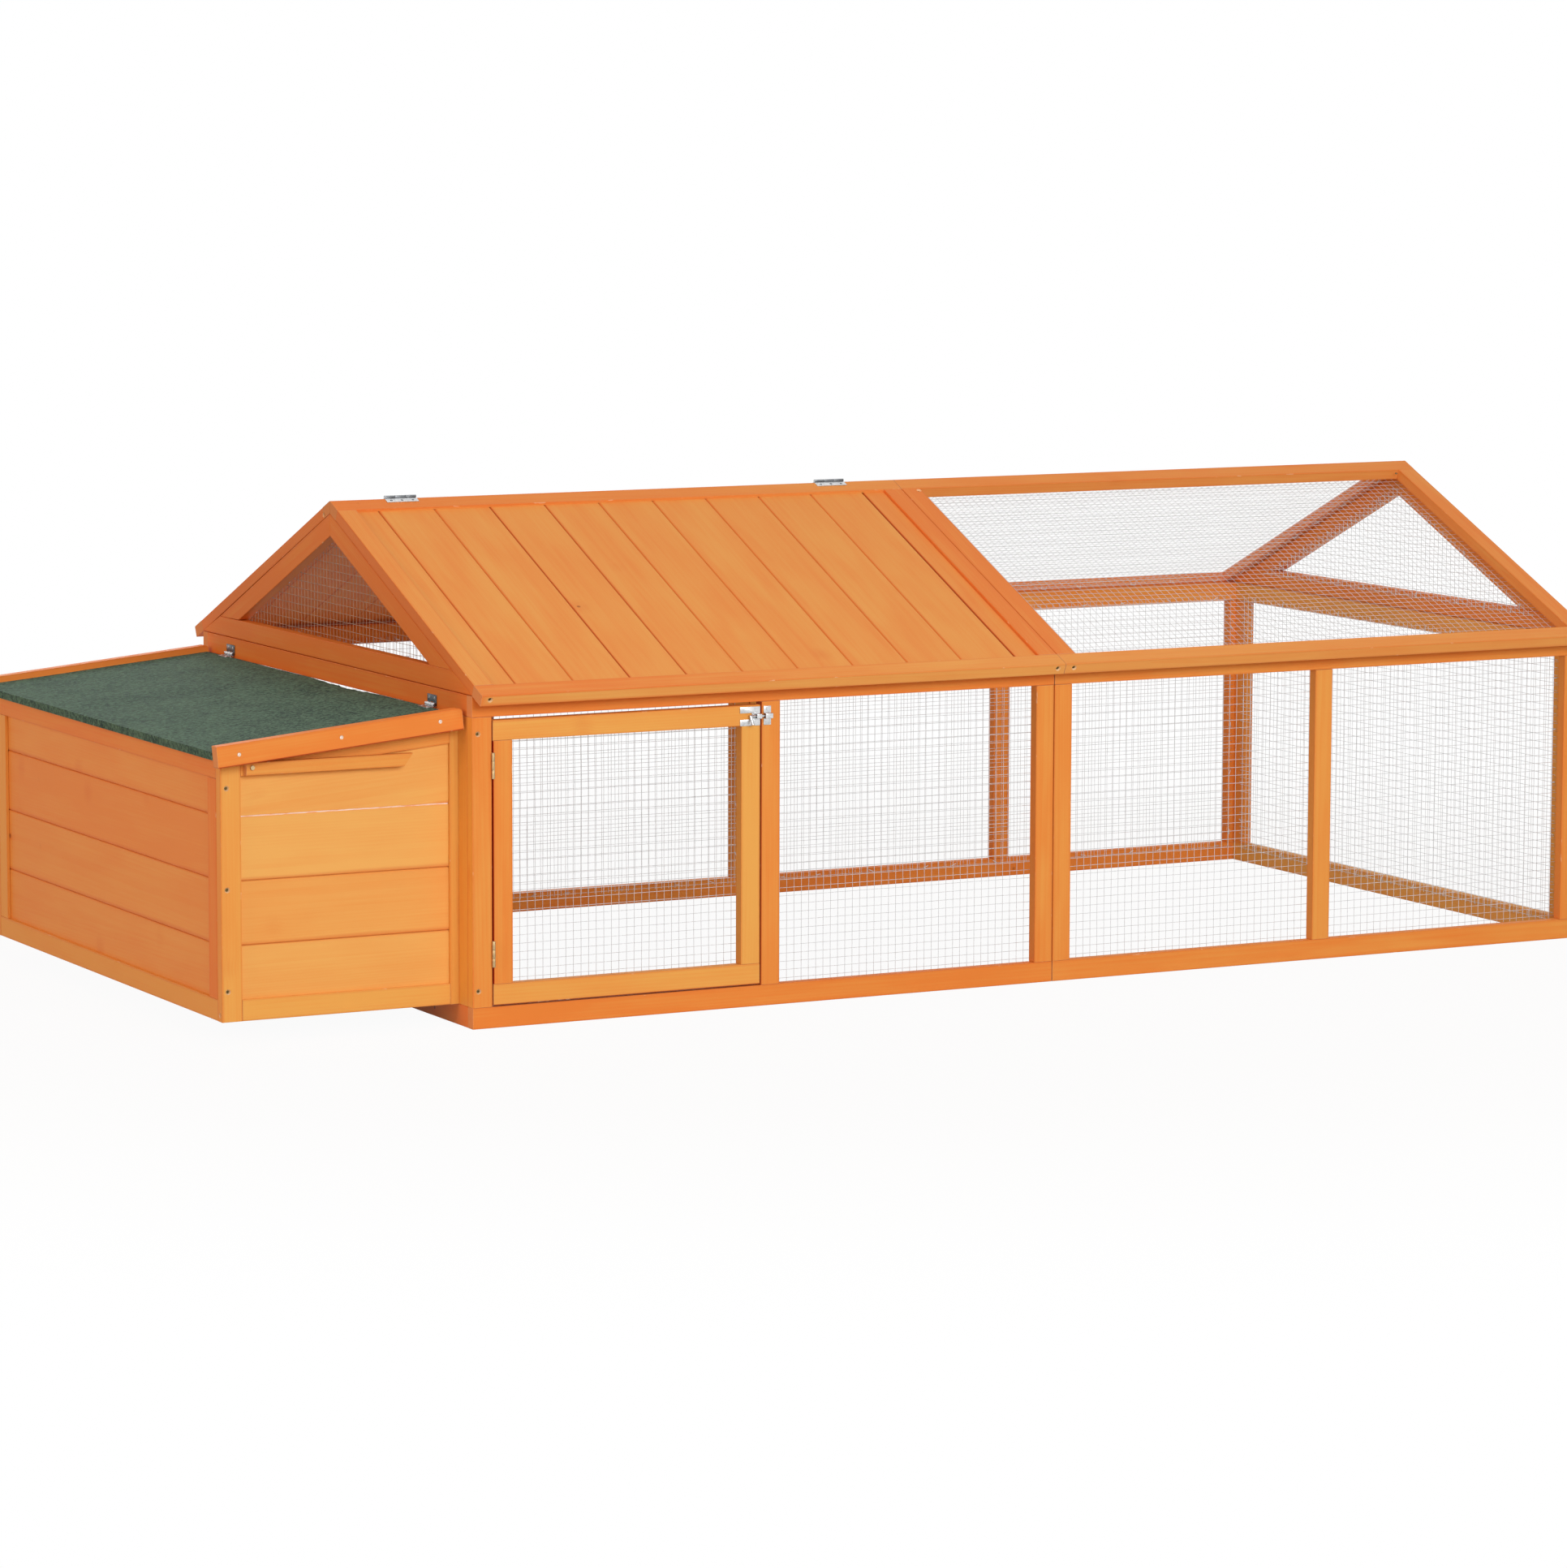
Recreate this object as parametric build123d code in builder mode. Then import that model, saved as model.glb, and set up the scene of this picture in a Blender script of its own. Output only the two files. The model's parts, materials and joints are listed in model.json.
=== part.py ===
"""Chicken coop: a boarded house bay, a wire mesh run bay and a nest box on the house's left end.

Lengths are in millimetres, Z is up, the ground is Z = 0 and the front faces -Y.
The origin is the middle of the footprint, so the ridge lies over Y = 0.
"""
import os
from math import cos, radians, sin, tan

from build123d import *

# Sticks that all the frames are made of
stick_width = 32.0
stick_thick = 18.0
joint_gap = 0.2  # saw gap where two sticks butt

# Walls
bay_length = 998.0
coop_depth = 1050.0
wall_height = 500.0

# Roof
roof_pitch = 23.8
eave_overhang = 36.5
roof_clearance = 0.4  # under the panels
ridge_clearance = 0.4  # between the front and the rear panels
roof_seam = 1.0  # how far each panel stays back from the joint of the bays
plank_thick = 13.5
plank_width = 95.0
plank_edge = 20.0  # least width of the cut planks at both ends
rebate_depth = 10.0
rebate_play = 0.5

# Tongue and groove of the planks and boards
tongue_length = 4.0
tongue_thick = 3.0
groove_play = 0.2
board_gap = 0.4
board_bevel = 1.5

# Wire mesh, as a flat net
mesh_thick = 1.2
mesh_wire = 2.0
mesh_pitch = 96.0
gable_pitch = 60.0
mesh_lap = 10.0
mesh_eave_gap = 6.0

# Door
door_gap = 2.0
door_head_gap = 4.0

# Nest box
nest_length = 381.0
board_thick = 10.0
board_width = 95.5
board_recess = 5.0
groove_depth = 6.0
first_board_height = 80.0
least_board = 30.0
floor_thick = 9.0

# Nest lid
lid_slope = 5.4
lid_reach = 399.0
lid_drop = 28.5  # from the wall's top to the felt, where the felt would meet the wall
lid_board_thick = 10.0
felt_thick = 2.0
lid_wall_gap = 9.0
batten_wall_gap = 6.0
lid_rest_gap = 0.4
lid_front_inset = 20.0  # from the coop's front face to the batten's face
batten_rise = 10.0
batten_round = 6.0

# Lid prop
prop_length = 266.0
prop_width = 19.0
prop_thick = 10.0
prop_bevel = 14.0
prop_play = 0.5
prop_tail = 9.0
prop_pivot_drop = 7.5
prop_pivot_inset = 46.0
prop_pivot_below = 19.4  # under the side panel's sloped top
prop_screw_radius = 1.7
prop_screw_play = 0.1
prop_screw_depth = 16.0
prop_head_radius = 3.4
prop_head_height = 2.2

# Hinges
pin_radius = 1.2
pin_play = 0.05
knuckle_gap = 0.3
leaf_thick = 1.5
door_hinge_length = 39.0
door_hinge_heights = (112.0, 395.0)
door_leaf_thick = 0.8
door_leaf_width = 19.0
door_knuckle_radius = 2.6
door_axis_stand = 3.0
ridge_hinge_length = 54.0
ridge_hinge_inset = 119.0
ridge_leaf_width = 15.0
ridge_knuckle_radius = 2.1
ridge_knuckle_stand = 2.4
lid_hinge_length = 32.0
lid_hinge_front_inset = 141.0
lid_hinge_rear_inset = 119.0
lid_leaf_width = 14.5
lid_knuckle_radius = 3.0
lid_knuckle_stand = 3.3
lid_axis_stand = 3.4

# Barrel bolt
bolt_plate_length = 34.0
bolt_plate_height = 29.0
bolt_plate_thick = 1.5
bolt_edge = 1.0
bolt_drop = 17.5  # from the door's top to the rod
window_length = 20.0  # slot in the plate behind the knob's travel
window_height = 10.0
strap_width = 8.5
strap_wall = 1.5
rod_radius = 2.2
rod_play = 0.3
rod_stand = 1.0
rod_tip_gap = 0.5
knob_radius = 2.2
knob_length = 15.0
knob_lean = 30.0
knob_inset = 17.5  # from the plate's right edge to the knob
keeper_length = 12.5
keeper_inset = 3.2
keeper_play = 0.6

# Positions that follow from the sizes
coop_length = 2 * bay_length
roof_length = bay_length - roof_seam
house_left = (lid_reach - coop_length) / 2
run_left = house_left + bay_length
coop_right = house_left + coop_length
run_end_left = coop_right - stick_thick
half_depth = coop_depth / 2
inner_half = half_depth - stick_thick
pitch_cos = cos(radians(roof_pitch))
pitch_sin = sin(radians(roof_pitch))
pitch_tan = tan(radians(roof_pitch))
under_apex = wall_height + half_depth * pitch_tan
ridge_height = under_apex + (stick_thick + roof_clearance) / pitch_cos
slope_length = (half_depth + eave_overhang) / pitch_cos
lid_top_height = wall_height - lid_drop
lid_tan = tan(radians(lid_slope))
lid_cos = cos(radians(lid_slope))
lid_sin = sin(radians(lid_slope))
nest_left = house_left - nest_length
nest_half = inner_half - stick_width
nest_inner_half = nest_half - stick_thick
nest_base = stick_width
nest_inner_end = house_left + stick_thick

os.makedirs("parts", exist_ok=True)


def save(part, name):
    """Labels one finished piece and writes it."""
    part.label = name
    export_step(part, f"parts/{name}.step")


def stick(low, high, mode=Mode.ADD):
    """A straight stick between two corners, for the piece being built."""
    middle = [(a + b) / 2 for a, b in zip(low, high)]
    with Locations(tuple(middle)):
        Box(*[b - a for a, b in zip(low, high)], mode=mode)


def turned(points):
    """Turns a half outline of radius and height into a solid about its own Z axis."""
    with BuildPart() as solid:
        with BuildSketch(Plane.XZ):
            Polygon(*points, align=None)
        revolve(axis=Axis.Z)
    return solid.part


# Front and rear walls

def across(side, outer, inner):
    """Low and high Y of a slab between two distances from the middle, on one side."""
    return min(side * outer, side * inner), max(side * outer, side * inner)


def wall_rails(left, side):
    """Top and bottom rail of a front or rear wall panel, as long as the panel."""
    low_y, high_y = across(side, half_depth, inner_half)
    for base in (0, wall_height - stick_width):
        stick((left, low_y, base), (left + bay_length, high_y, base + stick_width))


def wall_stiles(left, side):
    """Three stiles of a front or rear wall panel, between its rails."""
    low_y, high_y = across(side, half_depth, inner_half)
    foot = stick_width + joint_gap
    head = wall_height - stick_width - joint_gap
    for start in (0, (bay_length - stick_width) / 2, bay_length - stick_width):
        stick((left + start, low_y, foot), (left + start + stick_width, high_y, head))


def cells(length):
    """How many meshes of the net go into a length."""
    return max(2, round((length - mesh_wire) / mesh_pitch))


def net(plane, width, height):
    """A flat wire net on a plane: one face with holes, as thick as the wire."""
    columns = cells(width)
    rows = cells(height)
    step_x = (width - mesh_wire) / columns
    step_y = (height - mesh_wire) / rows
    with BuildPart() as panel:
        with BuildSketch(plane):
            Rectangle(width, height)
            with GridLocations(step_x, step_y, columns, rows):
                Rectangle(step_x - mesh_wire, step_y - mesh_wire, mode=Mode.SUBTRACT)
        extrude(amount=mesh_thick)
    return panel.part


net_height = wall_height - 2 * stick_width + 2 * mesh_lap
net_start = stick_width - mesh_lap
net_end = bay_length - net_start


def wall_net(left, right, side):
    """Net on the inner face of a front or rear wall, between two X positions."""
    middle = ((left + right) / 2, side * inner_half, wall_height / 2)
    plane = Plane(origin=middle, x_dir=(1, 0, 0), z_dir=(0, -side, 0))
    return net(plane, right - left, net_height)


# The middle stile of the house front is the door post
post_left = house_left + (bay_length - stick_width) / 2
post_right = post_left + stick_width

with BuildPart() as house_front_rails:
    wall_rails(house_left, -1)
save(house_front_rails.part, "house_front_rails")

with BuildPart() as house_front_stiles:
    wall_stiles(house_left, -1)
save(house_front_stiles.part, "house_front_stiles")

house_front_mesh = wall_net(post_right - mesh_lap, house_left + net_end, -1)
save(house_front_mesh, "house_front_mesh")

with BuildPart() as run_front_rails:
    wall_rails(run_left, -1)
save(run_front_rails.part, "run_front_rails")

with BuildPart() as run_front_stiles:
    wall_stiles(run_left, -1)
save(run_front_stiles.part, "run_front_stiles")

run_front_mesh = wall_net(run_left + net_start, run_left + net_end, -1)
save(run_front_mesh, "run_front_mesh")

with BuildPart() as house_rear_frame:
    wall_rails(house_left, 1)
    wall_stiles(house_left, 1)
save(house_rear_frame.part, "house_rear_frame")

house_rear_mesh = wall_net(house_left + net_start, house_left + net_end, 1)
save(house_rear_mesh, "house_rear_mesh")

with BuildPart() as run_rear_frame:
    wall_rails(run_left, 1)
    wall_stiles(run_left, 1)
save(run_rear_frame.part, "run_rear_frame")

run_rear_mesh = wall_net(run_left + net_start, run_left + net_end, 1)
save(run_rear_mesh, "run_rear_mesh")


# End walls, set between the front and the rear walls

def end_rails(left):
    """Top and bottom rail of an end wall."""
    for base in (0, wall_height - stick_width):
        stick((left, -inner_half, base), (left + stick_thick, inner_half, base + stick_width))


def end_stiles(left):
    """Two stiles of an end wall, between its rails."""
    foot = stick_width + joint_gap
    head = wall_height - stick_width - joint_gap
    for start in (-inner_half, inner_half - stick_width):
        stick((left, start, foot), (left + stick_thick, start + stick_width, head))


with BuildPart() as house_end_rails:
    end_rails(house_left)
save(house_end_rails.part, "house_end_rails")

with BuildPart() as house_end_stiles:
    end_stiles(house_left)
save(house_end_stiles.part, "house_end_stiles")

with BuildPart() as run_end_frame:
    end_rails(run_end_left)
    end_stiles(run_end_left)
save(run_end_frame.part, "run_end_frame")

run_end_plane = Plane(origin=(run_end_left, 0, wall_height / 2), x_dir=(0, 1, 0), z_dir=(-1, 0, 0))
run_end_mesh = net(run_end_plane, 2 * (nest_half + mesh_lap), net_height)
save(run_end_mesh, "run_end_mesh")


# Gables, standing on the end walls

def slope_reach(height, drop=0.0):
    """Half width of the gable at a height, the drop being measured square to the slope."""
    return (under_apex - drop / pitch_cos - height) / pitch_tan


def gable_frame(left):
    """Tie and two rafters of a gable, each a stick of its own."""
    tie_top = wall_height + stick_width
    foot = tie_top + joint_gap
    plumb = joint_gap / 2
    peak = under_apex - plumb * pitch_tan
    with BuildPart() as frame:
        with BuildSketch(Plane(origin=(left, 0, 0), x_dir=(0, 1, 0), z_dir=(1, 0, 0))):
            base_reach = slope_reach(wall_height)
            top_reach = slope_reach(tie_top)
            Polygon(
                (-base_reach, wall_height),
                (base_reach, wall_height),
                (top_reach, tie_top),
                (-top_reach, tie_top),
                align=None,
            )
            for hand in (-1, 1):
                Polygon(
                    (hand * plumb, peak),
                    (hand * slope_reach(foot), foot),
                    (hand * slope_reach(foot, stick_width), foot),
                    (hand * plumb, peak - stick_width / pitch_cos),
                    align=None,
                )
        extrude(amount=stick_thick)
    return frame.part


def gable_triangle(inset):
    """Outline of a gable net, drawn in from its edges."""
    base = wall_height + stick_width - mesh_lap + inset
    cover = stick_width - mesh_lap + inset
    reach = slope_reach(base, cover)
    return [(-reach, base), (reach, base), (0, under_apex - cover / pitch_cos)]


def gable_net(face_x, inward):
    """Net on the inner face of a gable, lapped on to its tie and its rafters."""
    right, tip = gable_triangle(mesh_wire)[1:]
    columns = round(2 * right[0] / gable_pitch)
    rows = round((tip[1] - right[1]) / gable_pitch)
    hole = gable_pitch - mesh_wire
    with BuildSketch() as holes:
        with Locations((0, right[1] + rows * gable_pitch / 2)):
            with GridLocations(gable_pitch, gable_pitch, columns, rows):
                Rectangle(hole, hole)
        Polygon(*gable_triangle(mesh_wire), align=None, mode=Mode.INTERSECT)
    with BuildPart() as panel:
        with BuildSketch(Plane(origin=(face_x, 0, 0), x_dir=(0, 1, 0), z_dir=(1, 0, 0))):
            Polygon(*gable_triangle(0), align=None)
            add(holes.sketch, mode=Mode.SUBTRACT)
        extrude(amount=inward * mesh_thick)
    return panel.part


house_gable_frame = gable_frame(house_left)
save(house_gable_frame, "house_gable_frame")

house_gable_mesh = gable_net(house_left + stick_thick, 1)
save(house_gable_mesh, "house_gable_mesh")

run_gable_frame = gable_frame(run_end_left)
save(run_gable_frame, "run_gable_frame")

run_gable_mesh = gable_net(run_end_left, -1)
save(run_gable_mesh, "run_gable_mesh")

# Roof panels, drawn from the ridge: local Y up the slope, local Z outward
half_roof = roof_length / 2
run_roof_left = run_left + roof_seam
ridge_gap = ridge_clearance / 2 / pitch_cos
mitre = stick_thick * pitch_tan
frame_start = stick_width + joint_gap
frame_end = slope_length - frame_start
rebate_edge = stick_width - rebate_depth  # from the panel's edge to the rebate


def roof_planes(left, side):
    """The panel's outer face, its section along the slope and its section across it."""
    origin = (left + half_roof, 0, ridge_height)
    along_x = (-side, 0, 0)
    up_slope = (0, -side * pitch_cos, pitch_sin)
    down_slope = (0, side * pitch_cos, -pitch_sin)
    outward = (0, side * pitch_sin, pitch_cos)
    face = Plane(origin=origin, x_dir=along_x, z_dir=outward)
    slope_section = Plane(origin=origin, x_dir=up_slope, z_dir=along_x)
    cross_section = Plane(origin=origin, x_dir=along_x, z_dir=down_slope)
    return face, slope_section, cross_section


def roof_frame(left, side, infill):
    """Ridge and eave rail and two rafters, with a rebate below for an infill of that thickness."""
    face, slope_section = roof_planes(left, side)[:2]
    low = -stick_thick
    ridge_inner = -stick_width
    eave_outer = -slope_length
    eave_inner = eave_outer + stick_width
    with BuildPart() as frame:
        with BuildSketch(slope_section):
            Polygon((-ridge_gap, 0), (ridge_inner, 0), (ridge_inner, low), (-ridge_gap - mitre, low), align=None)
            Polygon((eave_inner, 0), (eave_outer, 0), (eave_outer, low), (eave_inner, low), align=None)
        extrude(amount=half_roof, both=True)
        with BuildSketch(face):
            with Locations((0, -slope_length / 2)):
                with GridLocations(roof_length - stick_width, 0, 2, 1):
                    Rectangle(stick_width, frame_end - frame_start)
        extrude(amount=-stick_thick)
        if infill:
            with BuildSketch(face.offset(-stick_thick)):
                with Locations((0, -slope_length / 2)):
                    Rectangle(roof_length - 2 * rebate_edge, slope_length - 2 * rebate_edge)
            extrude(amount=infill, mode=Mode.SUBTRACT)
    return frame.part


def tongued(start, end, low, high, groove, tongue):
    """Outline of a board: across it is the first axis, its thickness the second."""
    middle = (low + high) / 2
    half = tongue_thick / 2
    wide = half + groove_play
    deep = start + tongue_length + groove_play
    points = [(start, low), (end, low)]
    if tongue:
        points += [(end, middle - half), (end + tongue_length, middle - half)]
        points += [(end + tongue_length, middle + half), (end, middle + half)]
    points += [(end, high - board_bevel), (end - board_bevel, high)]
    points += [(start + board_bevel, high), (start, high - board_bevel)]
    if groove:
        points += [(start, middle + wide), (deep, middle + wide)]
        points += [(deep, middle - wide), (start, middle - wide)]
    return points


def board_row(edges, low, high):
    """Adds the outlines of boards laid edge to edge to the sketch being built."""
    last = len(edges) - 2
    for index in range(last + 1):
        start = edges[index]
        end = edges[index + 1] - (board_gap if index < last else 0)
        Polygon(*tongued(start, end, low, high, index > 0, index < last), align=None)


plank_margin = rebate_edge + rebate_play
plank_field = roof_length - 2 * plank_margin
plank_count = int((plank_field - 2 * plank_edge) / plank_width)
plank_start = -plank_count * plank_width / 2
plank_edges = [-plank_field / 2]
plank_edges += [plank_start + index * plank_width for index in range(plank_count + 1)]
plank_edges += [plank_field / 2]


def roof_planks(left, side):
    """Tongue and groove planks down the slope, in the frame's rebate."""
    cross_section = roof_planes(left, side)[2]
    with BuildPart() as planks:
        with BuildSketch(cross_section.offset(plank_margin)):
            board_row(plank_edges, -stick_thick, plank_thick - stick_thick)
        extrude(amount=slope_length - 2 * plank_margin)
    return planks.part


def roof_net(left, side):
    """Net on the underside of a run roof panel, clear of the wall's top edge."""
    face = roof_planes(left, side)[0]
    top = -net_start
    bottom = -slope_length + stick_width + mesh_eave_gap
    middle = face.from_local_coords(Vector(0, (top + bottom) / 2, -stick_thick))
    plane = Plane(origin=middle, x_dir=face.x_dir, z_dir=-face.z_dir)
    return net(plane, roof_length - 2 * net_start, top - bottom)


house_roof_front_frame = roof_frame(house_left, -1, plank_thick)
save(house_roof_front_frame, "house_roof_front_frame")

house_roof_front_planks = roof_planks(house_left, -1)
save(house_roof_front_planks, "house_roof_front_planks")

house_roof_rear_frame = roof_frame(house_left, 1, plank_thick)
save(house_roof_rear_frame, "house_roof_rear_frame")

house_roof_rear_planks = roof_planks(house_left, 1)
save(house_roof_rear_planks, "house_roof_rear_planks")

run_roof_front_frame = roof_frame(run_roof_left, -1, 0)
save(run_roof_front_frame, "run_roof_front_frame")

run_roof_front_mesh = roof_net(run_roof_left, -1)
save(run_roof_front_mesh, "run_roof_front_mesh")

run_roof_rear_frame = roof_frame(run_roof_left, 1, 0)
save(run_roof_rear_frame, "run_roof_rear_frame")

run_roof_rear_mesh = roof_net(run_roof_left, 1)
save(run_roof_rear_mesh, "run_roof_rear_mesh")

# Door, in the left half of the house front and flush with it
door_left = house_left + stick_width + door_gap
door_right = post_left - door_gap
door_bottom = stick_width + door_gap
door_top = wall_height - stick_width - door_head_gap

with BuildPart() as door_rails:
    for base in (door_bottom, door_top - stick_width):
        stick((door_left, -half_depth, base), (door_right, -inner_half, base + stick_width))
save(door_rails.part, "door_rails")

with BuildPart() as door_stiles:
    foot = door_bottom + stick_width + joint_gap
    head = door_top - stick_width - joint_gap
    for start in (door_left, door_right - stick_width):
        stick((start, -half_depth, foot), (start + stick_width, -inner_half, head))
save(door_stiles.part, "door_stiles")

door_middle = ((door_left + door_right) / 2, -inner_half, (door_bottom + door_top) / 2)
door_plane = Plane(origin=door_middle, x_dir=(1, 0, 0), z_dir=(0, 1, 0))
door_mesh = net(
    door_plane,
    door_right - door_left - 2 * net_start,
    door_top - door_bottom - 2 * net_start,
)
save(door_mesh, "door_mesh")


# Hinges: an axis with two leaves, the pin being fast in the fixed one's two outer knuckles

def hinge_leaf(centre, away, outward, length, width, stand, radius, thick, fixed, tab_start=0.0):
    """One leaf. Away points from the axis along the leaf, stand is the axis above its seat."""
    normal = Vector(*outward)
    along = Vector(*away).cross(normal)
    seat = Plane(origin=Vector(*centre) - normal * stand, x_dir=along, z_dir=normal)
    third = length / 6
    outer = [(-length / 2, -third - knuckle_gap / 2), (third + knuckle_gap / 2, length / 2)]
    spans = outer if fixed else [(-third + knuckle_gap / 2, third - knuckle_gap / 2)]
    near = radius + knuckle_gap
    with BuildPart() as leaf:
        with BuildSketch(seat):
            with Locations((0, (near + width) / 2)):
                Rectangle(length, width - near)
            for start, end in spans:
                with Locations(((start + end) / 2, (tab_start + near) / 2)):
                    Rectangle(end - start, near - tab_start)
        extrude(amount=thick)
        for start, end in spans:
            with BuildSketch(Plane(origin=Vector(*centre) + along * start, x_dir=normal, z_dir=along)):
                Circle(radius)
            extrude(amount=end - start)
        with BuildSketch(Plane(origin=Vector(*centre) - along * length / 2, x_dir=normal, z_dir=along)):
            Circle(pin_radius if fixed else pin_radius + pin_play)
        extrude(amount=length, mode=Mode.ADD if fixed else Mode.SUBTRACT)
    return leaf.part


# Door hinges, folded in the gap between the stile and the door
door_axis_x = door_left - door_gap / 2
door_axis_y = -half_depth - door_axis_stand
door_hinge_centres = [(door_axis_x, door_axis_y, height) for height in door_hinge_heights]
door_leaf_shape = (
    door_hinge_length,
    door_leaf_width,
    door_gap / 2,
    door_knuckle_radius,
    door_leaf_thick,
)
door_tab = door_knuckle_radius * 0.7

with BuildPart() as door_hinge_frame_leaves:
    for centre in door_hinge_centres:
        add(hinge_leaf(centre, (0, 1, 0), (1, 0, 0), *door_leaf_shape, True, door_tab))
save(door_hinge_frame_leaves.part, "door_hinge_frame_leaves")

with BuildPart() as door_hinge_door_leaves:
    for centre in door_hinge_centres:
        add(hinge_leaf(centre, (0, 1, 0), (-1, 0, 0), *door_leaf_shape, False, door_tab))
save(door_hinge_door_leaves.part, "door_hinge_door_leaves")

# Ridge hinges, with their leaves on the outer faces of the roof panels
ridge_axis_height = ridge_height + ridge_knuckle_stand / pitch_cos
ridge_hinge_centres = [
    (house_left + ridge_hinge_inset, 0, ridge_axis_height),
    (house_left + roof_length - ridge_hinge_inset, 0, ridge_axis_height),
]
ridge_leaf_shape = (
    ridge_hinge_length,
    ridge_leaf_width,
    ridge_knuckle_stand,
    ridge_knuckle_radius,
    leaf_thick,
)


def ridge_leaf(centre, side):
    """Leaf on one roof slope. The rear one is fixed."""
    away = (0, side * pitch_cos, -pitch_sin)
    outward = (0, side * pitch_sin, pitch_cos)
    return hinge_leaf(centre, away, outward, *ridge_leaf_shape, side > 0)


with BuildPart() as ridge_hinge_front_leaves:
    for centre in ridge_hinge_centres:
        add(ridge_leaf(centre, -1))
save(ridge_hinge_front_leaves.part, "ridge_hinge_front_leaves")

with BuildPart() as ridge_hinge_rear_leaves:
    for centre in ridge_hinge_centres:
        add(ridge_leaf(centre, 1))
save(ridge_hinge_rear_leaves.part, "ridge_hinge_rear_leaves")


# Nest box: three panels of boards in grooved frames

def nest_top(x):
    """Height of the side panels' sloped top at an X position."""
    below = (felt_thick + lid_board_thick + lid_rest_gap) / lid_cos
    return lid_top_height + (x - house_left) * lid_tan - below


def nest_side_plane(side, depth):
    """Upright plane at a depth behind a side panel's outer face, with local Y up."""
    return Plane(origin=(0, side * (nest_half - depth), 0), x_dir=(1, 0, 0), z_dir=(0, -1, 0))


def sloped(left, right, low, drop=0.0):
    """Outline from a level lower edge up to the sloped top, less a drop."""
    return [
        (left, low),
        (right, low),
        (right, nest_top(right) - drop),
        (left, nest_top(left) - drop),
    ]


rail_drop = stick_width / lid_cos
field_left = nest_left + stick_width
field_right = nest_inner_end - stick_width
field_base = nest_base + stick_width
end_top = nest_top(nest_left)
end_field_half = nest_inner_half - stick_width
pivot_x = nest_left + prop_pivot_inset
pivot_y = -nest_half - prop_play
pivot_height = nest_top(pivot_x) - prop_pivot_below


def nest_field(grow):
    """Outline of the boards in a side panel, grown into the grooves."""
    return sloped(field_left - grow, field_right + grow, field_base - grow, rail_drop - grow)


def nest_side_frame(side):
    """Corner post, inner stile, level bottom rail and sloped top rail of a side panel."""
    rail_left = field_left + joint_gap
    rail_right = field_right - joint_gap
    with BuildPart() as frame:
        with BuildSketch(nest_side_plane(side, 0)):
            Polygon(*sloped(nest_left, field_left, nest_base), align=None)
            Polygon(*sloped(field_right, nest_inner_end, nest_base), align=None)
            Polygon(
                (rail_left, nest_base),
                (rail_right, nest_base),
                (rail_right, field_base),
                (rail_left, field_base),
                align=None,
            )
            Polygon(
                (rail_left, nest_top(rail_left) - rail_drop),
                (rail_right, nest_top(rail_right) - rail_drop),
                (rail_right, nest_top(rail_right)),
                (rail_left, nest_top(rail_left)),
                align=None,
            )
        extrude(amount=side * stick_thick)
        with BuildSketch(nest_side_plane(side, board_recess - groove_play)):
            Polygon(*nest_field(groove_depth), align=None)
        extrude(amount=side * (board_thick + 2 * groove_play), mode=Mode.SUBTRACT)
        if side < 0:
            with Locations(Plane(origin=(pivot_x, -nest_half, pivot_height), z_dir=(0, -1, 0))):
                Hole(prop_screw_radius + prop_screw_play, depth=prop_screw_depth + prop_screw_play)
    return frame.part


def board_edges(low, high):
    """Heights of the joints between boards, from the lowest edge to above the highest."""
    edges = [low, field_base + first_board_height]
    while edges[-1] + board_width < high - least_board:
        edges.append(edges[-1] + board_width)
    return edges + [high]


board_fit = groove_depth - groove_play


def nest_side_boards(side):
    """Level tongue and groove boards of a side panel, the top one cut to the slope."""
    length = field_right - field_left + 2 * board_fit
    low = field_base - board_fit
    high = nest_top(field_right) - rail_drop + groove_depth + tongue_length
    start = (field_left - board_fit, side * (nest_half - board_recess), 0)
    with BuildPart() as boards:
        with BuildSketch(Plane(origin=start, x_dir=(0, 0, 1), z_dir=(-side, 0, 0))):
            board_row(board_edges(low, high), -board_thick, 0)
        extrude(amount=-side * length)
        with BuildSketch(nest_side_plane(side, board_recess)):
            Polygon(*nest_field(board_fit), align=None)
        extrude(amount=side * board_thick, mode=Mode.INTERSECT)
    return boards.part


nest_front_frame = nest_side_frame(-1)
save(nest_front_frame, "nest_front_frame")

nest_front_boards = nest_side_boards(-1)
save(nest_front_boards, "nest_front_boards")

nest_rear_frame = nest_side_frame(1)
save(nest_rear_frame, "nest_rear_frame")

nest_rear_boards = nest_side_boards(1)
save(nest_rear_boards, "nest_rear_boards")

end_field_top = end_top - stick_width
with BuildPart() as nest_end_frame:
    for base in (nest_base, end_field_top):
        stick(
            (nest_left, -nest_inner_half, base),
            (nest_left + stick_thick, nest_inner_half, base + stick_width),
        )
    for start in (-nest_inner_half, end_field_half):
        stick(
            (nest_left, start, field_base + joint_gap),
            (nest_left + stick_thick, start + stick_width, end_field_top - joint_gap),
        )
    groove_x = nest_left + board_recess - groove_play
    stick(
        (groove_x, -end_field_half - groove_depth, field_base - groove_depth),
        (
            groove_x + board_thick + 2 * groove_play,
            end_field_half + groove_depth,
            end_field_top + groove_depth,
        ),
        mode=Mode.SUBTRACT,
    )
save(nest_end_frame.part, "nest_end_frame")

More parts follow.
